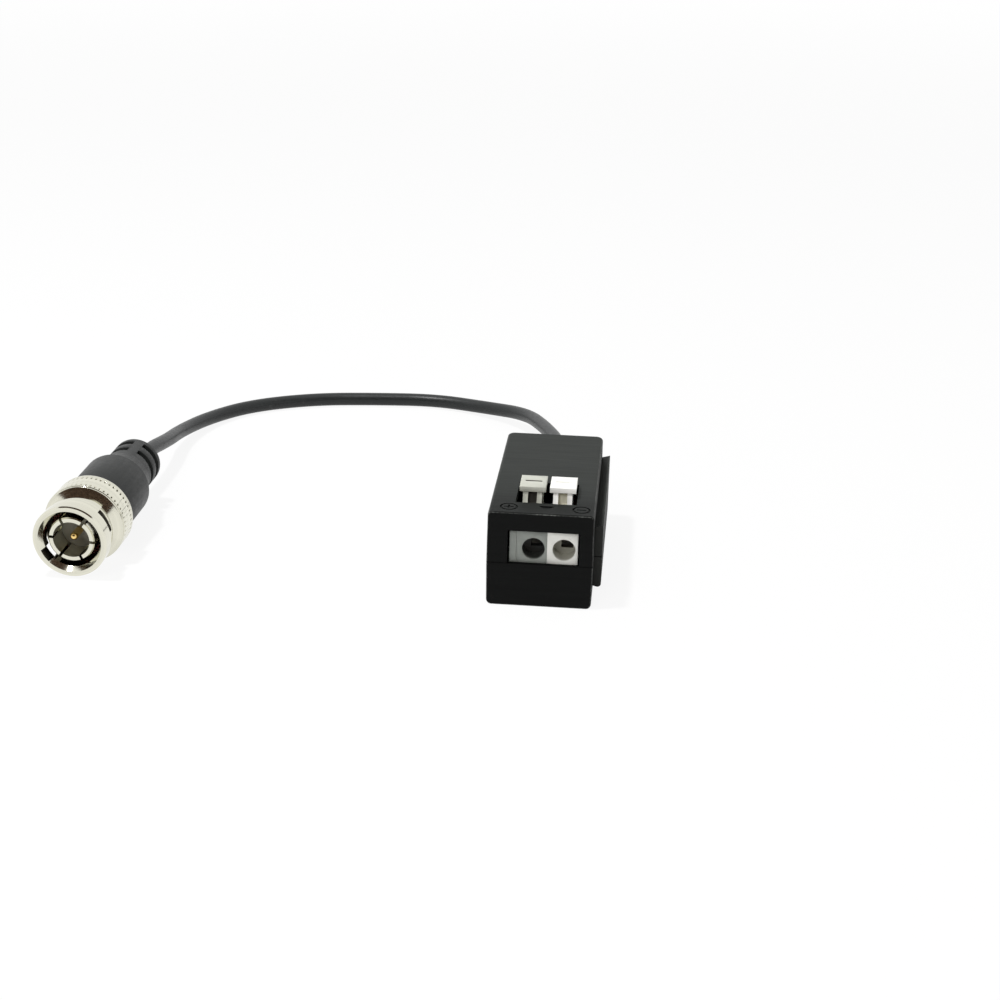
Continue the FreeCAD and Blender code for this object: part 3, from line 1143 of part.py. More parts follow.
# Boot: moulded over the barrel, the ferrule and the cable, with a shoulder
# and a strain relief of three discs joined by two bridges.
def plug_boot():
    ferrule = "ferrule_radius + moulding_gap"
    neck = "ferrule_crimp + moulding_gap"
    grip = "cable_radius + moulding_gap"
    barrel = "barrel_radius + moulding_gap"
    turned = revolve("boot_turned", [
        (barrel, "boot_start"), ("boot_radius - boot_round", "boot_start"),
        ("boot_radius", "boot_start + boot_round"), ("boot_radius", "boot_shoulder"),
        ("boot_radius - boot_round", "boot_shoulder + boot_round"), ("relief_radius", "relief_start"),
        ("relief_radius", "boot_end - boot_round"), ("relief_radius - boot_round", "boot_end"),
        (grip, "boot_end"), (grip, "ferrule_end + moulding_gap"), (neck, "ferrule_end + moulding_gap"),
        (neck, "ferrule_step + ferrule_crimp / 2 + moulding_gap"), (ferrule, "ferrule_step + moulding_gap"),
        (ferrule, "barrel_end + moulding_gap"), (barrel, "barrel_end + moulding_gap")])
    rings = []
    for index in range(2):
        start = f"first_groove + {index} * groove_pitch"
        outer = cylinder(f"groove_outer_{index}", "boot_radius", "groove_gap", ("0", "0", start))
        inner = cylinder(f"groove_inner_{index}", "relief_groove", "3 * groove_gap",
                         ("0", "0", f"{start} - groove_gap"))
        rings.append(cut(f"boot_groove_{index}", outer, inner))
    bar = box("bridge_bar", ("-boot_radius * 2", "-bridge_width / 2", "relief_start"),
              ("4 * boot_radius", "bridge_width", "boot_end"))
    bridge = doc.addObject("Part::Compound", "bridge")
    bridge.Links = [bar]
    bind(bridge, "Placement.Rotation.Yaw", "bridge_angle")
    grooves = cut("boot_grooves", fuse("boot_rings", *rings), bridge)
    return piece("plug_boot", on_plug(cut("plug_boot", turned, grooves)))


def build():
    """Make every piece of the balun."""
    upper_shell()
    lower_shell()
    circuit_board()
    terminal_end_plate()
    for index, (name, left) in enumerate(modules()):
        terminal_module(name, left)
        lever(name, left)
        clamp_spring(name, index)
        contact_bar(name, index)
    surge_protector()
    ring = toroid_core()
    doc.recompute()
    winding("winding_left", ring, 111.0)
    winding("winding_right", ring, -69.0)
    chip_resistors()
    cable_bush()
    cable_tie()
    coax_insulation()
    coax_conductor()
    coax_braid()
    video_cable()
    coupling_nut()
    plug_body()
    turned_plug_pieces()
    nut_retaining_ring()
    plug_boot()
    doc.recompute()


def check():
    """Stop if any object failed or any piece has no sound solid."""
    for item in doc.Objects:
        if "Invalid" in item.State or "Error" in item.State:
            raise RuntimeError(f"{item.Label} is {item.State}")
    for item in pieces:
        if item.Shape.isNull() or not item.Shape.isValid() or not item.Shape.Solids:
            raise RuntimeError(f"{item.Label} has no sound solid")


def export():
    """Write one STEP file for each piece."""
    os.makedirs("parts", exist_ok=True)
    for item in pieces:
        item.Shape.exportStep(f"parts/{item.Label}.step")


build()
check()
export()
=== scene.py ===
import math

import bmesh
import bpy
import numpy as np
from mathutils import Euler, Matrix, Vector


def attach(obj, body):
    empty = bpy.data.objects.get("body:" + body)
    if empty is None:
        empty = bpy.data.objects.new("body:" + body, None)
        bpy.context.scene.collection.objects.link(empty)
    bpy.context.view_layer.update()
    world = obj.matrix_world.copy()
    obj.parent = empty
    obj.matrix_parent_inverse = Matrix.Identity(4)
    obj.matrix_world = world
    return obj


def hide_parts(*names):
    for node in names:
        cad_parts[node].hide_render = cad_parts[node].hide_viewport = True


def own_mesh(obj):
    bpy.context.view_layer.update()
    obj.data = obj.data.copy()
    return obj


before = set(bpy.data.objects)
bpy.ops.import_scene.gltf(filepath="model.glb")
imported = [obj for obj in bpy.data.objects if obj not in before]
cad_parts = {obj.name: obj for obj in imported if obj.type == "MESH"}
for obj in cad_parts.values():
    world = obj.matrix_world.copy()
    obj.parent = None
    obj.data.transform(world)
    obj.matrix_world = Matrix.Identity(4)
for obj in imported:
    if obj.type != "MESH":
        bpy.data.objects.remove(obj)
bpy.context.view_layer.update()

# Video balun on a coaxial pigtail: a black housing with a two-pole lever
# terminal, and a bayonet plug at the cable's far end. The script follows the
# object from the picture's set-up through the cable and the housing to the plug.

# Picture set-up. The camera stands low in front of the terminal side, a little
# to the right and looking slightly to the left, as the photograph was taken.
camera_data = bpy.data.cameras.new("camera")
camera_data.lens = 63.16
camera_data.sensor_width = 36.0
camera_data.clip_start = 0.01
camera = bpy.data.objects.new("camera", camera_data)
camera.location = (0.015066, -0.286050, 0.123481)
camera.rotation_euler = [math.radians(a) for a in (68.5742, -1.2272, 5.1772)]
bpy.context.scene.collection.objects.link(camera)
bpy.context.scene.camera = camera
bpy.context.scene.view_settings.view_transform = "Standard"


# White surroundings. The sky and the paper on the table look plain white. They
# give less light than they show, so the black housing stays deep.
def bare_tree(owner):
    """Empty node tree of a world or a material."""
    owner.use_nodes = True
    owner.node_tree.nodes.clear()
    return owner.node_tree


def add_node(tree, kind, **values):
    """Shader node. Small names are its settings, capital ones its sockets, _0 its first socket."""
    node = tree.nodes.new(kind)
    for name, value in values.items():
        if name[0].islower():
            setattr(node, name, value)
            continue
        key = int(name[1:]) if name[0] == "_" else name.replace("_", " ")
        socket = node.inputs[key]
        if isinstance(value, bpy.types.NodeSocket):
            tree.links.new(value, socket)
        else:
            socket.default_value = value
    return node


def calc(tree, operation, first, second=0.0):
    """Sum, product or the like of two values."""
    return add_node(tree, "ShaderNodeMath", operation=operation, _0=first, _1=second).outputs[0]


def product(tree, *values):
    """Product of several values."""
    total = values[0]
    for value in values[1:]:
        total = calc(tree, "MULTIPLY", total, value)
    return total


def fade(tree, value, start, end, low=0.0, high=1.0):
    """Smooth step of a value, low at the start and high at the end."""
    return add_node(tree, "ShaderNodeMapRange", interpolation_type="SMOOTHSTEP", Value=value,
                    From_Min=start, From_Max=end, To_Min=low, To_Max=high).outputs[0]


def axes_of(tree, place):
    """The X, Y and Z of a place."""
    return add_node(tree, "ShaderNodeSeparateXYZ", _0=place).outputs


def seen_rays(tree):
    """1 where camera, reflection or clear glass shows a surface, 0 where it only gives light."""
    ray = add_node(tree, "ShaderNodeLightPath").outputs
    mirrored = calc(tree, "MAXIMUM", ray["Is Glossy Ray"], ray["Is Transmission Ray"])
    return calc(tree, "MAXIMUM", ray["Is Camera Ray"], mirrored)


white = (1, 1, 1, 1)
studio = bpy.data.worlds.new("studio")
bpy.context.scene.world = studio
tree = bare_tree(studio)
direction = add_node(tree, "ShaderNodeTexCoord").outputs["Generated"]
sky_strength = fade(tree, axes_of(tree, direction)["Z"], 0.0, 0.9, 0.20, 0.50)
shown_sky = add_node(tree, "ShaderNodeBackground", Color=white, Strength=1.0)
soft_sky = add_node(tree, "ShaderNodeBackground", Color=white, Strength=sky_strength)
sky = add_node(tree, "ShaderNodeMixShader", _0=seen_rays(tree), _1=soft_sky.outputs[0],
               _2=shown_sky.outputs[0])
add_node(tree, "ShaderNodeOutputWorld", Surface=sky.outputs[0])

floor_paper = bpy.data.materials.new("floor_paper")
tree = bare_tree(floor_paper)
paper = add_node(tree, "ShaderNodeBsdfDiffuse", Color=(0.88, 0.88, 0.88, 1))
glow = add_node(tree, "ShaderNodeEmission", Color=white, Strength=1.0)
paper_place = add_node(tree, "ShaderNodeTexCoord").outputs["Object"]
distance = add_node(tree, "ShaderNodeVectorMath", operation="LENGTH", _0=paper_place)
glow_share = product(tree, seen_rays(tree),
                     fade(tree, distance.outputs["Value"], 0.2, 1.2, 0.90, 1.0))
paper_mix = add_node(tree, "ShaderNodeMixShader", _0=glow_share, _1=paper.outputs[0],
                     _2=glow.outputs[0])
add_node(tree, "ShaderNodeOutputMaterial", Surface=paper_mix.outputs[0])


def stage_object(name, points, faces, material):
    """Object of the picture's set-up, from its points and faces."""
    mesh = bpy.data.meshes.new(name)
    mesh.from_pydata(points, [], faces)
    mesh.materials.append(material)
    item = bpy.data.objects.new(name, mesh)
    bpy.context.scene.collection.objects.link(item)
    return item


floor_half = 4
floor_corners = [(-floor_half, -floor_half, 0), (floor_half, -floor_half, 0),
                 (floor_half, floor_half, 0), (-floor_half, floor_half, 0)]
studio_floor = stage_object("studio_floor", floor_corners, [(0, 1, 2, 3)], floor_paper)

# Dark screen round the camera, part of a ball from just above the floor to
# overhead and wider on top. It keeps the metal's reflections deep, and the
# camera looks through it.
card_cloth = bpy.data.materials.new("card_cloth")
tree = bare_tree(card_cloth)
cloth = add_node(tree, "ShaderNodeBsdfDiffuse", Color=(0.110, 0.072, 0.052, 1))
clear = add_node(tree, "ShaderNodeBsdfTransparent")
from_camera = add_node(tree, "ShaderNodeLightPath").outputs["Is Camera Ray"]
cloth_mix = add_node(tree, "ShaderNodeMixShader", _0=from_camera, _1=cloth.outputs[0],
                     _2=clear.outputs[0])
add_node(tree, "ShaderNodeOutputMaterial", Surface=cloth_mix.outputs[0])

card_distance = 0.9
across, rise = np.meshgrid(np.linspace(-1, 1, 36), np.radians(np.linspace(2, 84, 22)))
widening = np.clip((rise - np.radians(36)) / np.radians(12), 0, 1)
turn = np.radians(-100 + 10 * widening) + across * np.radians(42 + 28 * widening)
card_points = card_distance * np.stack(
    [np.cos(turn) * np.cos(rise), np.sin(turn) * np.cos(rise), np.sin(rise)], axis=-1)
corner = np.arange(turn.size).reshape(turn.shape)
card_faces = np.stack([corner[:-1, :-1], corner[:-1, 1:], corner[1:, 1:], corner[1:, :-1]],
                      axis=-1)
dark_card = stage_object("dark_card", card_points.reshape(-1, 3).tolist(),
                         card_faces.reshape(-1, 4).tolist(), card_cloth)


# Lamps: a small soft box overhead that draws the highlights, and a wide one
# over the camera that fills the shadows and isn't mirrored.
def lamp(name, place, target, size, power, mirrored=True):
    """Square soft box that looks at a point. Glossy surfaces show it if it is mirrored."""
    data = bpy.data.lights.new(name, "AREA")
    data.size = size
    data.energy = power
    item = bpy.data.objects.new(name, data)
    item.location = place
    item.rotation_euler = (Vector(target) - Vector(place)).to_track_quat("-Z", "Y").to_euler()
    item.visible_glossy = mirrored
    bpy.context.scene.collection.objects.link(item)


lamp_target = (-0.03, 0.0, 0.0)
lamp("overhead_softbox", (-0.22, -0.09, 0.62), lamp_target, 0.055, 3.2)
lamp("front_softbox", (-0.20, -0.58, 0.50), lamp_target, 0.40, 2.3, mirrored=False)


# Video cable: 2.8 mm coaxial cable in a black vinyl jacket. It leaves the bush
# at the housing's back, lies on the table in a bend and rises into the plug.
def noise(tree, place, scale, detail=3.0, stretch=(1, 1, 1)):
    """Cloudy value from 0 to 1, stretched along an axis where its share is small."""
    laid = add_node(tree, "ShaderNodeMapping", Vector=place, Scale=stretch).outputs[0]
    return add_node(tree, "ShaderNodeTexNoise", Vector=laid, Scale=scale, Detail=detail).outputs[0]


def finish(name, colour, roughness, spread=0.1, cloud=700.0, grain=2500.0, stretch=(1, 1, 1),
           relief=0.2, layout=None, layers=(), **fixed):
    """Finish with a mottled colour and roughness, a grain that is raised, and layers on it.

    The colour and the roughness are scaled by one less to one more than the
    spread with a cloudy noise. The grain is a finer noise, raised by the relief.
    A layer is a mask, its colour and its roughness, and covers what is below.
    Further values go to the shader as they are.
    """
    item = bpy.data.materials.new(name)
    tree = bare_tree(item)
    place = add_node(tree, "ShaderNodeTexCoord").outputs["Object"]
    if layout:
        place = layout(tree, place)
    mottle = noise(tree, place, cloud, stretch=stretch)
    amount = add_node(tree, "ShaderNodeMapRange", Value=mottle, From_Min=0.25, From_Max=0.75,
                      To_Min=1 - spread, To_Max=1 + spread).outputs[0]
    tint = add_node(tree, "ShaderNodeVectorMath", operation="SCALE", _0=colour,
                    Scale=amount).outputs[0]
    rough = product(tree, amount, roughness)
    height = noise(tree, place, grain, stretch=stretch)
    for mask, layer_colour, layer_roughness in layers:
        cover = mask(tree, place)
        tint = add_node(tree, "ShaderNodeMix", data_type="RGBA", _0=cover, _6=tint,
                        _7=(*layer_colour, 1)).outputs[2]
        rough = add_node(tree, "ShaderNodeMix", _0=cover, _2=rough, _3=layer_roughness).outputs[0]
    raised = add_node(tree, "ShaderNodeBump", Height=height, Strength=relief,
                      Distance=0.0001).outputs[0]
    shader = add_node(tree, "ShaderNodeBsdfPrincipled", Base_Color=tint, Roughness=rough,
                      Normal=raised, **fixed)
    add_node(tree, "ShaderNodeOutputMaterial", Surface=shader.outputs[0])
    return item


def new_piece(name, data, material, body, slot, *nodes):
    """Piece that rides on a body and stands for CAD nodes."""
    item = bpy.data.objects.new(name, data)
    bpy.context.scene.collection.objects.link(item)
    data.materials.clear()
    data.materials.append(material)
    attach(item, body)
    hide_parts(*nodes)
    return item


def scuffs(tree, place):
    """Sparse pale rubs on a soft skin."""
    return fade(tree, noise(tree, place, 900.0, 6.0), 0.62, 0.72, 0.0, 0.35)


route = [
    (0.0006, 0.0128, 0.0077),
    (0.0006, 0.0273, 0.0077),
    (-0.0003, 0.0418, 0.0072),
    (-0.0040, 0.0557, 0.0056),
    (-0.0088, 0.0695, 0.0036),
    (-0.0184, 0.0776, 0.0019),
    (-0.0300, 0.0824, 0.00145),
    (-0.0434, 0.0812, 0.00145),
    (-0.0565, 0.0790, 0.00145),
    (-0.0692, 0.0724, 0.00145),
    (-0.0762, 0.0620, 0.0018),
    (-0.0790, 0.0490, 0.0031),
    (-0.0781, 0.0362, 0.0056),
    (-0.078575, 0.023009, 0.008116),
    (-0.078941, 0.009018, 0.007749),
]
cable_radius = 0.0014
cable_curve = bpy.data.curves.new("coaxial_cable", "CURVE")
cable_curve.dimensions = "3D"
cable_curve.resolution_u = 16
cable_curve.bevel_depth = cable_radius
cable_curve.bevel_resolution = 8
cable_curve.use_fill_caps = True
cable_spline = cable_curve.splines.new("NURBS")
cable_spline.points.add(len(route) - 1)
for point, place in zip(cable_spline.points, route):
    point.co = (*place, 1.0)
cable_spline.order_u = 3
cable_spline.use_endpoint_u = True

jacket_vinyl = finish("jacket_vinyl", (0.016, 0.018, 0.018), 0.38, spread=0.15, cloud=1500.0,
                      grain=6000.0, relief=0.2, layers=[(scuffs, (0.05, 0.052, 0.05), 0.5)],
                      Specular_IOR_Level=0.3)
coaxial_cable = new_piece("coaxial_cable", cable_curve, jacket_vinyl, "housing", "cable_jacket",
                          "video_cable")

# Housing shells: two black ABS mouldings that snap together at a seam round
# the middle. Their skin has fine lines across, and their corners are rubbed.
shell_middle = (0.0, 0.0, 0.00835)
shell_half = (0.00885, 0.0202, 0.00835)
shell_seam = 0.0077
rail_foot = (0.00886, 0.00892)
rail_front = (-0.01530, -0.01525)


def dress(material, *nodes):
    """Give CAD nodes a finish."""
    for name in nodes:
        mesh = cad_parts[name].data
        mesh.materials.clear()
        mesh.materials.append(material)


def distance_from(tree, value, middle):
    """How far a value is from a middle value, on either side."""
    return calc(tree, "ABSOLUTE", calc(tree, "SUBTRACT", value, middle))


def near(tree, value, middle, full, none):
    """1 up to the full distance from a middle value, and 0 from the other distance on."""
    return fade(tree, distance_from(tree, value, middle), full, none, 1.0, 0.0)


def rubbed_corners(tree, place):
    """Mask on the shells' edges: where the depths under two faces are small and alike."""
    depths = [calc(tree, "SUBTRACT", reach, distance_from(tree, axis, centre))
              for axis, centre, reach in zip(axes_of(tree, place), shell_middle, shell_half)]
    edges = 0.0
    for a, b in ((0, 1), (1, 2), (0, 2)):
        alike = near(tree, depths[a], depths[b], 0.00005, 0.00018)
        shallow = fade(tree, calc(tree, "ADD", depths[a], depths[b]), 0.0008, 0.0010, 1.0, 0.0)
        edges = calc(tree, "MAXIMUM", edges, product(tree, alike, shallow))
    patches = fade(tree, noise(tree, place, 260.0, 2.0), 0.40, 0.60, 0.30, 1.0)
    flecks = fade(tree, noise(tree, place, 2600.0, 5.0), 0.40, 0.60, 0.35, 1.0)
    return product(tree, edges, patches, flecks)


def seam_line(tree, place):
    """Thin line round the housing where its shells meet."""
    return near(tree, axes_of(tree, place)["Z"], shell_seam, 0.00006, 0.00012)


def painted_sheen(tree, place):
    """Painted sheen, standing in for reflection, where the skin is seen at a flat angle.

    It is the angle's share times three others: fine lines across, less towards the
    front end, as painted shade in front of the levers, and less on upright walls.
    """
    facing = add_node(tree, "ShaderNodeLayerWeight", Blend=0.5).outputs["Facing"]
    lines = fade(tree, noise(tree, place, 2600.0, 4.0, (0.04, 1, 1)), 0.3, 0.7, 0.78, 1.0)
    sheen_towards_back = fade(tree, axes_of(tree, place)["Y"], -0.0175, -0.0070, 0.45, 1.0)
    normal = add_node(tree, "ShaderNodeTexCoord").outputs["Normal"]
    upward = fade(tree, axes_of(tree, normal)["Z"], 0.0, 0.8, 0.30, 1.0)
    return product(tree, fade(tree, facing, 0.25, 0.95), lines, sheen_towards_back, upward)


def painted_rail_light(tree, place):
    """Mask of painted light on the rail on the right side, which stands out from the wall."""
    return fade(tree, axes_of(tree, place)["X"], *rail_foot, 0.0, 0.95)


def rail_end(tree, place):
    """Mask of the rail's front end, dulled by housings slid past it."""
    axes = axes_of(tree, place)
    return product(tree, fade(tree, axes["X"], *rail_foot),
                   fade(tree, axes["Y"], *rail_front, 1.0, 0.0))


shell_black = finish("shell_black", (0.0062, 0.0066, 0.0064), 0.50, spread=0.15, cloud=1500.0,
                     grain=3600.0, stretch=(0.04, 1, 1), relief=0.14,
                     layers=[(painted_rail_light, (0.0215, 0.0228, 0.021), 0.50),
                             (rail_end, (0.040, 0.042, 0.039), 0.50),
                             (painted_sheen, (0.047, 0.052, 0.048), 0.50),
                             (rubbed_corners, (0.125, 0.131, 0.124), 0.42),
                             (seam_line, (0.002, 0.002, 0.002), 0.7)],
                     Specular_IOR_Level=0.05)
dress(shell_black, "upper_shell", "lower_shell")

# Terminal: two polyamide modules, one grey and one white, and a thin end plate
# on the left. Each has a funnel for its wire, and they stand on the board.
weld_distance = 2e-6
grey_entry = -0.00113
white_entry = 0.00395
entry_height = 0.0102


def rounded_copy(name, node, edge, material, body, slot):
    """Copy of a CAD node, its flat facets joined and every sharp edge rounded by a radius."""
    shape = bmesh.new()
    shape.from_mesh(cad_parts[node].data)
    bmesh.ops.remove_doubles(shape, verts=shape.verts, dist=weld_distance)
    bmesh.ops.dissolve_limit(shape, angle_limit=math.radians(0.5), verts=shape.verts,
                             edges=shape.edges)
    mesh = bpy.data.meshes.new(name)
    shape.to_mesh(mesh)
    shape.free()
    mesh.shade_smooth()
    item = new_piece(name, mesh, material, body, slot, node)
    rounding = item.modifiers.new("rounding", "BEVEL")
    rounding.width = edge
    rounding.segments = 2
    rounding.limit_method = "ANGLE"
    rounding.angle_limit = math.radians(40)
    rounding.harden_normals = True
    return item


def painted_entry_shade(side):
    """Mask of painted shade inside a module's round wire entry, which light hardly reaches."""
    def mask(tree, place):
        axes = axes_of(tree, place)
        flat = add_node(tree, "ShaderNodeCombineXYZ", X=axes["X"], Y=axes["Z"]).outputs[0]
        far = add_node(tree, "ShaderNodeVectorMath", operation="DISTANCE", _0=flat,
                       _1=(side, entry_height, 0))
        return product(tree, fade(tree, far.outputs["Value"], 0.00192, 0.00196, 1.0, 0.0),
                       fade(tree, axes["Y"], -0.01935, -0.01850, 0.0, 0.95))
    return mask


def painted_throat_shade(tree, place):
    """Mask of painted shade inside the white module's square throat behind its round wire entry.
    """
    axes = axes_of(tree, place)
    return product(tree, near(tree, axes["X"], white_entry, 0.0018, 0.0019),
                   fade(tree, axes["Z"], 0.0080, 0.0081),
                   fade(tree, axes["Y"], -0.01638, -0.01630, 0.0, 0.95))


module_grey = finish("module_grey", (0.235, 0.253, 0.232), 0.46, spread=0.06, cloud=900.0,
                     grain=5000.0, relief=0.12,
                     layers=[(painted_entry_shade(grey_entry), (0.020, 0.021, 0.019), 0.6)])
module_white = finish("module_white", (0.76, 0.765, 0.72), 0.44, spread=0.04, cloud=900.0,
                      grain=5000.0, relief=0.12,
                      layers=[(painted_entry_shade(white_entry), (0.36, 0.355, 0.30), 0.5),
                              (painted_throat_shade, (0.05, 0.042, 0.03), 0.6)])
rounded_copy("end_plate", "terminal_end_plate", 0.00010, module_grey, "housing", "grey_terminal")
rounded_copy("grey_module", "terminal_module_grey", 0.00008, module_grey, "housing",
             "grey_terminal")
rounded_copy("white_module", "terminal_module_white", 0.00008, module_white, "housing",
             "white_terminal")

# Levers: polyamide press levers with a flat head, a grooved neck and a slot for
# a driver. They turn on a round nose in the modules and open the clamps.
grey_lever_middle = -0.00193
white_lever_middle = 0.00315
neck_slope = 0.5333
neck_foot = -0.02207
head_underside = (0.01772, 0.01775)
slot_middle = -0.00990


def painted_groove_shade(middle):
    """Mask of painted shade in a lever's groove: close to its middle, below its head and behind
    the neck's sloping front, which lies at y = slope times z plus its foot."""
    def mask(tree, place):
        axes = axes_of(tree, place)
        front = calc(tree, "ADD", product(tree, axes["Z"], neck_slope), neck_foot)
        depth = calc(tree, "SUBTRACT", axes["Y"], front)
        return product(tree, near(tree, axes["X"], middle, 0.00074, 0.00079),
                       fade(tree, depth, 0.00010, 0.00030),
                       fade(tree, axes["Z"], *head_underside, 1.0, 0.0))
    return mask


def painted_slot_shade(tree, place):
    """Mask of painted shade in the driver slot across the grey lever's head."""
    axes = axes_of(tree, place)
    return product(tree, near(tree, axes["X"], grey_lever_middle, 0.00142, 0.00148),
                   near(tree, axes["Y"], slot_middle, 0.00027, 0.00030),
                   fade(tree, axes["Z"], 0.01852, 0.01858, 1.0, 0.0),
                   fade(tree, axes["Z"], 0.0178, 0.0179))


lever_grey = finish("lever_grey", (0.53, 0.54, 0.47), 0.42, spread=0.05, cloud=800.0,
                    grain=4000.0, relief=0.15,
                    layers=[(painted_groove_shade(grey_lever_middle), (0.035, 0.033, 0.028), 0.4),
                            (painted_slot_shade, (0.045, 0.034, 0.025), 0.5)])
lever_white = finish("lever_white", (0.93, 0.93, 0.89), 0.40, spread=0.03, cloud=800.0,
                     grain=4000.0, relief=0.12,
                     layers=[(painted_groove_shade(white_lever_middle), (0.66, 0.64, 0.52), 0.45)])
rounded_copy("grey_lever", "lever_grey", 0.00010, lever_grey, "grey_press_lever", "grey_lever")
rounded_copy("white_lever", "lever_white", 0.00010, lever_white, "white_press_lever",
             "white_lever")

# Clamp springs of stainless strip, which a lever presses together, and contact
# bars of tinned brass. Both are bent and pushed into the modules, and the bars'
# pins are soldered into the board.
bright_steel = finish("bright_steel", (0.58, 0.57, 0.54), 0.24, spread=0.12, cloud=2000.0,
                      grain=9000.0, stretch=(0.08, 1, 1), relief=0.10, Metallic=1.0)
tinned_brass = finish("tinned_brass", (0.70, 0.69, 0.64), 0.34, spread=0.14, cloud=1800.0,
                      grain=5200.0, relief=0.12, Metallic=1.0)
for side, middle in (("grey", -0.00123), ("white", 0.00385)):
    spring = rounded_copy(f"{side}_clamp_spring", f"clamp_spring_{side}", 0.00003, bright_steel,
                          "housing", "spring_steel")
    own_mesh(spring)
dress(tinned_brass, "contact_bar_grey", "contact_bar_white")

# Circuit board: glass-epoxy laminate with copper lines under green lacquer and
# tinned pads. It lies on four posts of the lower shell.
lacquer_edge = 0.00006


def strips(*boxes):
    """Mask of straight copper lines, each a box of left, front, right and back."""
    def mask(tree, place):
        axes = axes_of(tree, place)
        total = 0.0
        for left, front, right, back in boxes:
            half_width = (right - left) / 2
            half_length = (back - front) / 2
            inside = product(tree, near(tree, axes["X"], (left + right) / 2, half_width,
                                        half_width + lacquer_edge),
                             near(tree, axes["Y"], (front + back) / 2, half_length,
                                  half_length + lacquer_edge))
            total = calc(tree, "MAXIMUM", total, inside)
        return total
    return mask


def spots(*points):
    """Mask of round pads, each its middle and its radius."""
    def mask(tree, place):
        flat = add_node(tree, "ShaderNodeVectorMath", operation="MULTIPLY", _0=place,
                        _1=(1, 1, 0)).outputs[0]
        total = 0.0
        for side, along, radius in points:
            far = add_node(tree, "ShaderNodeVectorMath", operation="DISTANCE", _0=flat,
                           _1=(side, along, 0))
            inside = fade(tree, far.outputs["Value"], radius, radius + lacquer_edge, 1.0, 0.0)
            total = calc(tree, "MAXIMUM", total, inside)
        return total
    return mask


copper_lines = strips((-0.0034, -0.0120, -0.0026, 0.0105), (0.0040, -0.0120, 0.0048, 0.0105),
                      (-0.0034, -0.0044, 0.0010, -0.0036), (0.0010, -0.0010, 0.0048, -0.0002),
                      (-0.0030, 0.0098, 0.0008, 0.0104), (0.0028, 0.0088, 0.0044, 0.0094))
tin_pads = spots((-0.0029, 0.0094, 0.0009), (-0.0029, 0.0115, 0.0009), (0.0043, 0.0094, 0.0009),
                 (0.0043, 0.0115, 0.0009), (0.0006, 0.0097, 0.0009), (0.0029, 0.0095, 0.0010),
                 (-0.0012, -0.0127, 0.0011), (0.0038, -0.0127, 0.0011),
                 (-0.0012, -0.0023, 0.0008), (0.0026, -0.0023, 0.0008))
solder_lacquer = finish("solder_lacquer", (0.012, 0.085, 0.032), 0.30, spread=0.12, cloud=900.0,
                        grain=3500.0, relief=0.12,
                        layers=[(copper_lines, (0.020, 0.140, 0.050), 0.26),
                                (tin_pads, (0.55, 0.54, 0.50), 0.30)])
dress(solder_lacquer, "circuit_board")

# Surge disc: a round varistor dipped in dark blue epoxy. It stands upright
# behind the levers, soldered into the board by its leads.
dipped_epoxy = finish("dipped_epoxy", (0.010, 0.014, 0.030), 0.30, spread=0.2, cloud=500.0,
                      grain=1400.0, relief=0.5)
dress(dipped_epoxy, "surge_protector")

# Balance transformer: a pressed and fired ferrite ring with two windings of
# red enamelled copper wire, one on each side.
ferrite_grey = finish("ferrite_grey", (0.030, 0.030, 0.033), 0.62, spread=0.2, cloud=2400.0,
                      grain=8000.0, relief=0.5)
enamel_red = finish("enamel_red", (0.36, 0.055, 0.018), 0.24, spread=0.18, cloud=1200.0,
                    grain=3000.0, relief=0.15, Coat_Weight=0.5)
dress(ferrite_grey, "toroid_core")
dress(enamel_red, "winding_left", "winding_right")

# Chip resistors: ceramic chips with a black glaze and tinned end caps, one
# near each side wall and soldered flat on the board.
chip_middle = 0.0104


def end_caps(tree, place):
    """Mask of both ends of the chips, outside their glazed middle."""
    along = axes_of(tree, place)["Y"]
    return fade(tree, distance_from(tree, along, chip_middle), 0.00060, 0.00066)


chip_glaze = finish("chip_glaze", (0.012, 0.012, 0.013), 0.28, spread=0.1, cloud=2000.0,
                    grain=6000.0, relief=0.1, layers=[(end_caps, (0.60, 0.59, 0.56), 0.35)])
dress(chip_glaze, "chip_resistor_left", "chip_resistor_right")

# Cable bush of black rubber in the back wall, and a nylon tie round the cable
# that bears on the saddle rib and takes the pull.
bush_rubber = finish("bush_rubber", (0.014, 0.014, 0.014), 0.62, spread=0.15, cloud=1300.0,
                     grain=5000.0, relief=0.35, Specular_IOR_Level=0.3)
tie_nylon = finish("tie_nylon", (0.66, 0.66, 0.60), 0.36, spread=0.06, cloud=1500.0,
                   grain=3200.0, stretch=(1, 0.05, 1), relief=0.45)
dress(bush_rubber, "cable_bush")
dress(tie_nylon, "cable_tie")

# Bared cable end: white polyethylene round a tinned conductor on its pad, and
# the braid of tinned wires twisted to a tail on the next pad. The same
# polyethylene is the core in the plug.
core_white = finish("core_white", (0.74, 0.73, 0.68), 0.40, spread=0.05, cloud=1800.0,
                    grain=5000.0, relief=0.12)
tinned_wire = finish("tinned_wire", (0.68, 0.67, 0.63), 0.32, spread=0.14, cloud=3000.0,
                     grain=7000.0, relief=0.12, Metallic=1.0)
braid_wires = finish("braid_wires", (0.66, 0.62, 0.54), 0.36, spread=0.35, cloud=5200.0,
                     grain=5200.0, stretch=(1, 0.25, 1), relief=0.9, Metallic=1.0)
dress(core_white, "coax_insulation", "plug_cable_core")
dress(tinned_wire, "coax_conductor")
dress(braid_wires, "coax_braid")

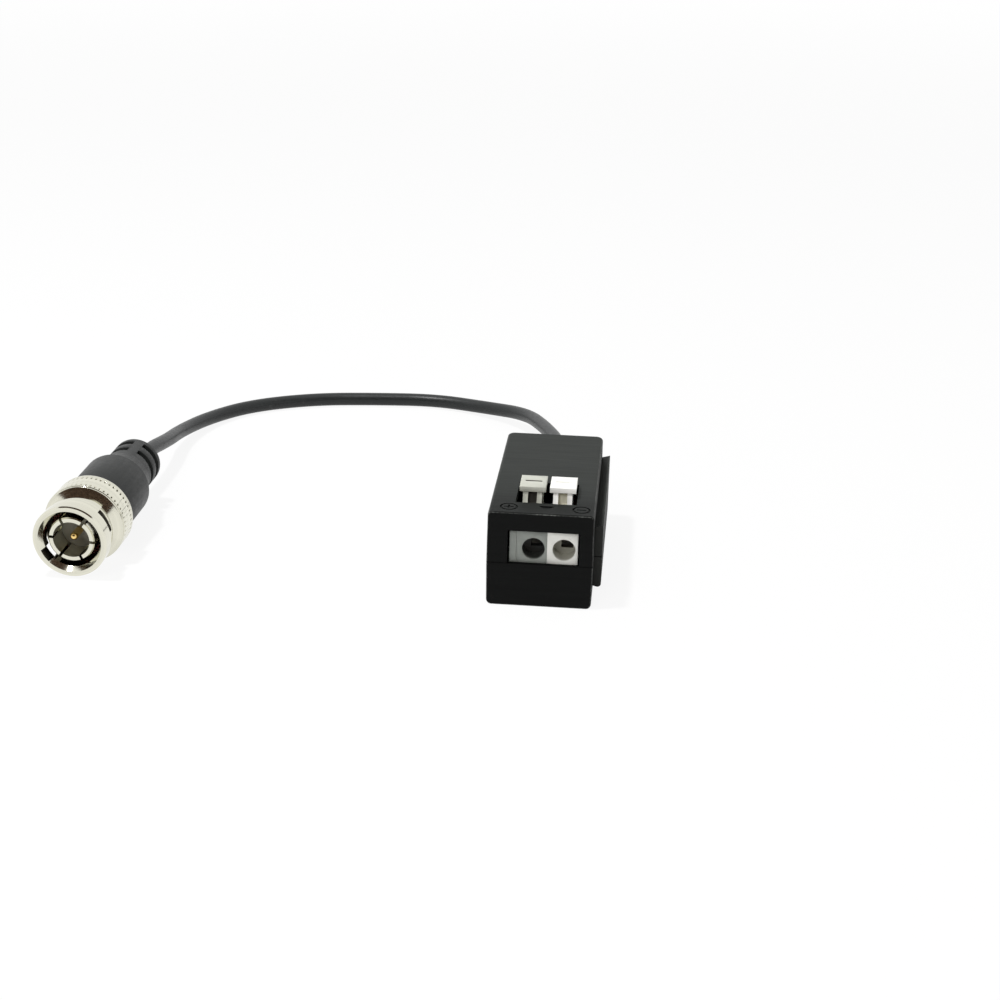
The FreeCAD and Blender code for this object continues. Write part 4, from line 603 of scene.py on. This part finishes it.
# Coupling nut: nickel-plated brass, turned, with bayonet grooves in its mouth
# and a straight knurl round its grip. It turns on the plug's body.
plug_origin = (-0.0797, -0.01996, 0.006974)
plug_turn = tuple(math.radians(a) for a in (-88.5, 0.0, -1.5))
plug_place = Matrix.Translation(plug_origin) @ Euler(plug_turn).to_matrix().to_4x4()
grip_radius = 0.00714
grip_start = 0.00785
grip_end = 0.01237
front_rounding = 0.00010
back_rounding = 0.00045
knurl_ridges = 53
knurl_turn = np.radians(4.4)
knurl_depth = 0.000055
dent_depth = 0.00036
dent_reach = 0.00026
dent_rows = (grip_start + 0.00058, grip_end - 0.00082)


def on_plug(tree, place):
    """Place on the plug in its own frame, whose Z runs from the mating face to the cable."""
    return add_node(tree, "ShaderNodeMapping", vector_type="TEXTURE", Vector=place,
                    Location=plug_origin, Rotation=plug_turn).outputs[0]


def turned_round(tree, place):
    """Radius and length on the plug, so that a grain runs round it as lathe marks do."""
    axes = axes_of(tree, on_plug(tree, place))
    flat = add_node(tree, "ShaderNodeCombineXYZ", X=axes["X"], Y=axes["Y"]).outputs[0]
    radius = add_node(tree, "ShaderNodeVectorMath", operation="LENGTH", _0=flat).outputs["Value"]
    return add_node(tree, "ShaderNodeCombineXYZ", X=radius, Y=axes["Z"]).outputs[0]


def closed_grid(name, points):
    """Mesh from a grid of points whose first direction closes into rings."""
    around, along = points.shape[:2]
    corner = np.arange(around * along).reshape(around, along)
    after = np.roll(corner, -1, axis=0)
    quads = np.stack([corner[:, :-1], after[:, :-1], after[:, 1:], corner[:, 1:]], axis=-1)
    mesh = bpy.data.meshes.new(name)
    mesh.from_pydata(points.reshape(-1, 3).tolist(), [], quads.reshape(-1, 4).tolist())
    return mesh


def rings(radius, length, around):
    """Grid of points round the plug's axis: x = radius cos a, y = radius sin a and z = length,
    for each angle a of one turn. The radius is a number for each length, or a function of a."""
    angle = np.linspace(0, 2 * np.pi, around, endpoint=False)[:, None]
    if callable(radius):
        radius = radius(angle)
    return np.stack([radius * np.cos(angle), radius * np.sin(angle), length + 0 * angle], axis=-1)


def neck_and_grip(around=636, along=25):
    """Outer skin of the nut behind its collar: a turned-down neck, a flare with a sloping face
    and a rounded land, and the knurled grip. The outline's radius falls by a narrow groove,
    (1 + cos(53 a)) / 2 to the third power, which is faint all along the grip. To the power 1.5
    again it makes the dents, in one bell-shaped row near each end of the grip."""
    bend = np.radians(np.linspace(0, 90, 6))
    neck = [(0.00590, 0.00497), (0.00585, 0.00540), (0.00520, 0.00575), (0.00520, 0.00650),
            (0.00684, 0.00735), (0.00696, 0.00739), (0.00702, 0.00746), (0.00702, 0.00775)]
    step = list(zip(grip_radius - front_rounding * (1 - np.sin(bend)),
                    grip_start - front_rounding * np.cos(bend)))
    grip = [(grip_radius, z) for z in np.linspace(grip_start, grip_end, along)[1:]]
    back = list(zip(grip_radius - back_rounding * (1 - np.cos(bend)),
                    grip_end + back_rounding * np.sin(bend)))[1:-1]
    outline, z = np.array(neck + step + grip + back).T
    inset = np.minimum(z - grip_start, grip_end - z)
    on_grip = 1 / (1 + np.exp(-(inset - 0.00035) / 0.00008))
    in_row = sum(np.exp(-((z - row) / dent_reach) ** 2) for row in dent_rows)

    def knurled(angle):
        groove = (0.5 + 0.5 * np.cos(knurl_ridges * (angle + knurl_turn))) ** 3
        return outline - knurl_depth * groove * on_grip - dent_depth * groove ** 1.5 * in_row
    return rings(knurled, z, around)


# The nut keeps the CAD shape's own corner normals through the merge.
nut_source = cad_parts["coupling_nut"].data.copy()
corner_normals = np.empty(len(nut_source.loops) * 3, dtype=np.float32)
nut_source.corner_normals.foreach_get("vector", corner_normals)
kept_normal = nut_source.attributes.new("kept_normal", "FLOAT_VECTOR", "CORNER")
kept_normal.data.foreach_set("vector", corner_normals)
shape = bmesh.new()
shape.from_mesh(nut_source)
bmesh.ops.remove_doubles(shape, verts=shape.verts, dist=weld_distance)
shape.transform(plug_place.inverted())

# The rear edge of the cam's windows lies 0.7 mm further back than in the CAD.
window_back = 0.0040
window_edge = [v for v in shape.verts
               if abs(v.co.z - window_back) < 1e-5 and 0.0054 < v.co.xy.length < 0.0060]
bmesh.ops.translate(shape, verts=window_edge, vec=(0, 0, 0.0007))

# The outer skin behind the collar is cut out and the new one is joined in.
skin_radius = 0.00585
skin_start = 0.00495
skin = [f for f in shape.faces if all(v.co.xy.length > skin_radius for v in f.verts)]
cut_edges = list({e for f in skin for e in f.edges})
bmesh.ops.bisect_plane(shape, geom=skin + cut_edges, plane_co=(0, 0, skin_start),
                       plane_no=(0, 0, 1), dist=1e-7)
skin = [f for f in shape.faces
        if all(v.co.xy.length > skin_radius and v.co.z > skin_start - 1e-6 for v in f.verts)]
bmesh.ops.delete(shape, geom=skin, context="FACES")
shape.from_mesh(closed_grid("neck_and_grip", neck_and_grip()))
open_edges = [e for e in shape.edges if len(e.link_faces) == 1]
for low, high in ((0.0049, 0.0051), (0.0127, 0.0129)):
    joint = [e for e in open_edges if all(low < v.co.z < high for v in e.verts)]
    bmesh.ops.bridge_loops(shape, edges=joint)
shape.transform(plug_place)
nut_mesh = bpy.data.meshes.new("knurled_nut")
shape.to_mesh(nut_mesh)
shape.free()
nut_mesh.shade_smooth()
nut_mesh.set_sharp_from_angle(angle=math.radians(25))

# Faces of the new skin have no kept normal and take their own.
kept = np.empty(len(nut_mesh.loops) * 3, dtype=np.float32)
nut_mesh.attributes["kept_normal"].data.foreach_get("vector", kept)
fresh = np.empty(len(nut_mesh.loops) * 3, dtype=np.float32)
nut_mesh.corner_normals.foreach_get("vector", fresh)
kept, fresh = kept.reshape(-1, 3), fresh.reshape(-1, 3)
is_kept = np.linalg.norm(kept, axis=1, keepdims=True) > 0.5
nut_mesh.normals_split_custom_set(np.where(is_kept, kept, fresh))
nut_mesh.attributes.remove(nut_mesh.attributes["kept_normal"])

# Dark colour and roughness of the painted shade inside the nut and on the sleeve.
painted_shade_finish = ((0.035, 0.030, 0.025), 0.45)


def painted_dent_shade(tree, radius_and_length):
    """Mask of painted shade in the dents of the knurl, below the ridges' feet."""
    radius, along = axes_of(tree, radius_and_length)[:2]
    return product(tree, fade(tree, along, 0.00795, 0.00800),
                   fade(tree, along, 0.0118, 0.0119, 1.0, 0.0),
                   fade(tree, radius, 0.00692, 0.00706, 0.85, 0.0))


def painted_cam_shade(tree, radius_and_length):
    """Mask of painted shade in the cam grooves and on the walls of their windows."""
    radius, along = axes_of(tree, radius_and_length)[:2]
    return product(tree, fade(tree, along, 0.0022, 0.0027),
                   fade(tree, along, 0.00536, 0.00539, 1.0, 0.0),
                   fade(tree, radius, 0.00578, 0.00583, 0.93, 0.0))


def nickel_plate(name, *layers):
    """Bright nickel on turned brass, with lathe marks and layers of painted shade."""
    return finish(name, (0.725, 0.712, 0.605), 0.115, spread=0.10, cloud=900.0, grain=9000.0,
                  relief=0.035, layout=turned_round, layers=layers, Metallic=1.0)


nickel = nickel_plate("nickel", (painted_dent_shade, (0.10, 0.085, 0.06), 0.4), (painted_cam_shade, *painted_shade_finish))
knurled_nut = new_piece("knurled_nut", nut_mesh, nickel, "nut", "nickel", "coupling_nut")


# Plug body: nickel-plated brass, turned and slotted to six contact fingers, and
# the crimped ferrule of soft brass on its stem.
def painted_sleeve_shade(tree, radius_and_length):
    """Mask of painted shade on the outside of the contact sleeve, behind the nut's rim."""
    radius, along = axes_of(tree, radius_and_length)[:2]
    return product(tree, fade(tree, radius, 0.00396, 0.00400, 0.0, 0.95),
                   fade(tree, along, 0.0022, 0.0027))


shaded_nickel = nickel_plate("shaded_nickel", (painted_sleeve_shade, *painted_shade_finish))
dress(shaded_nickel, "plug_body")
dress(nickel, "crimp_ferrule")

# Gasket, cone washer and retaining ring inside the nut. The gasket is moulded
# red silicone, and the washer and the ring are spring steel that holds the nut.
gasket_red = finish("gasket_red", (0.26, 0.030, 0.018), 0.50, spread=0.1, cloud=1500.0,
                    grain=4000.0, relief=0.2)
dress(gasket_red, "plug_gasket")
dress(bright_steel, "nut_spring_washer", "nut_retaining_ring")

# Insulator and centre pin: a dark turned plastic bush, and a gold-plated pin
# crimped on the cable's conductor, with a round tip.
insulator_dark = finish("insulator_dark", (0.20, 0.19, 0.15), 0.30, spread=0.15, cloud=1500.0,
                        grain=9000.0, relief=0.06, layout=turned_round, Anisotropic=0.8)
tree = insulator_dark.node_tree
round_axis = add_node(tree, "ShaderNodeTangent", direction_type="RADIAL", axis="Y").outputs[0]
tree.links.new(round_axis, tree.nodes["Principled BSDF"].inputs["Tangent"])
gold = finish("gold", (0.92, 0.66, 0.26), 0.20, spread=0.1, cloud=1500.0, grain=9000.0,
              relief=0.05, layout=turned_round, Metallic=1.0)
dress(insulator_dark, "plug_insulator")
pin_radius = 0.00067
pin_tip = 0.0019
pin_rounding = 0.0007
pin_profile = [(pin_radius * math.sqrt(1 - (1 - s) ** 2), pin_tip + pin_rounding * s)
               for s in np.linspace(0, 1, 14)]
pin_profile += [(pin_radius, 0.0126), (0.00085, 0.0126), (0.00085, 0.0165), (0.0, 0.0165)]


def turned(name, profile, around=48):
    """Piece turned on the plug's axis from a profile of radius and length."""
    radius, length = np.array(profile).T
    mesh = closed_grid(name, rings(radius, length, around))
    shape = bmesh.new()
    shape.from_mesh(mesh)
    bmesh.ops.remove_doubles(shape, verts=shape.verts, dist=weld_distance)
    shape.transform(plug_place)
    shape.to_mesh(mesh)
    shape.free()
    mesh.shade_smooth()
    mesh.set_sharp_from_angle(angle=math.radians(35))
    return mesh


gold_pin = new_piece("gold_pin", turned("gold_pin", pin_profile), gold, "housing", "gold",
                     "centre_pin")


# Boot: soft black vinyl moulded over the ferrule and the cable, with a ribbed
# strain relief.
def painted_lip_shadow(tree, place):
    """Mask of painted shadow on the boot's front lip, in the gap behind the nut."""
    return fade(tree, axes_of(tree, on_plug(tree, place))["Z"], 0.01395, 0.01430, 0.95, 0.0)


boot_vinyl = finish("boot_vinyl", (0.014, 0.0155, 0.015), 0.46, spread=0.12, cloud=900.0,
                    grain=4200.0, relief=0.3,
                    layers=[(scuffs, (0.035, 0.037, 0.036), 0.55),
                            (painted_lip_shadow, (0.0015, 0.0016, 0.0016), 0.7)],
                    Specular_IOR_Level=0.3)
cable_boot = rounded_copy("cable_boot", "plug_boot", 0.00018, boot_vinyl, "housing", "boot_pvc")
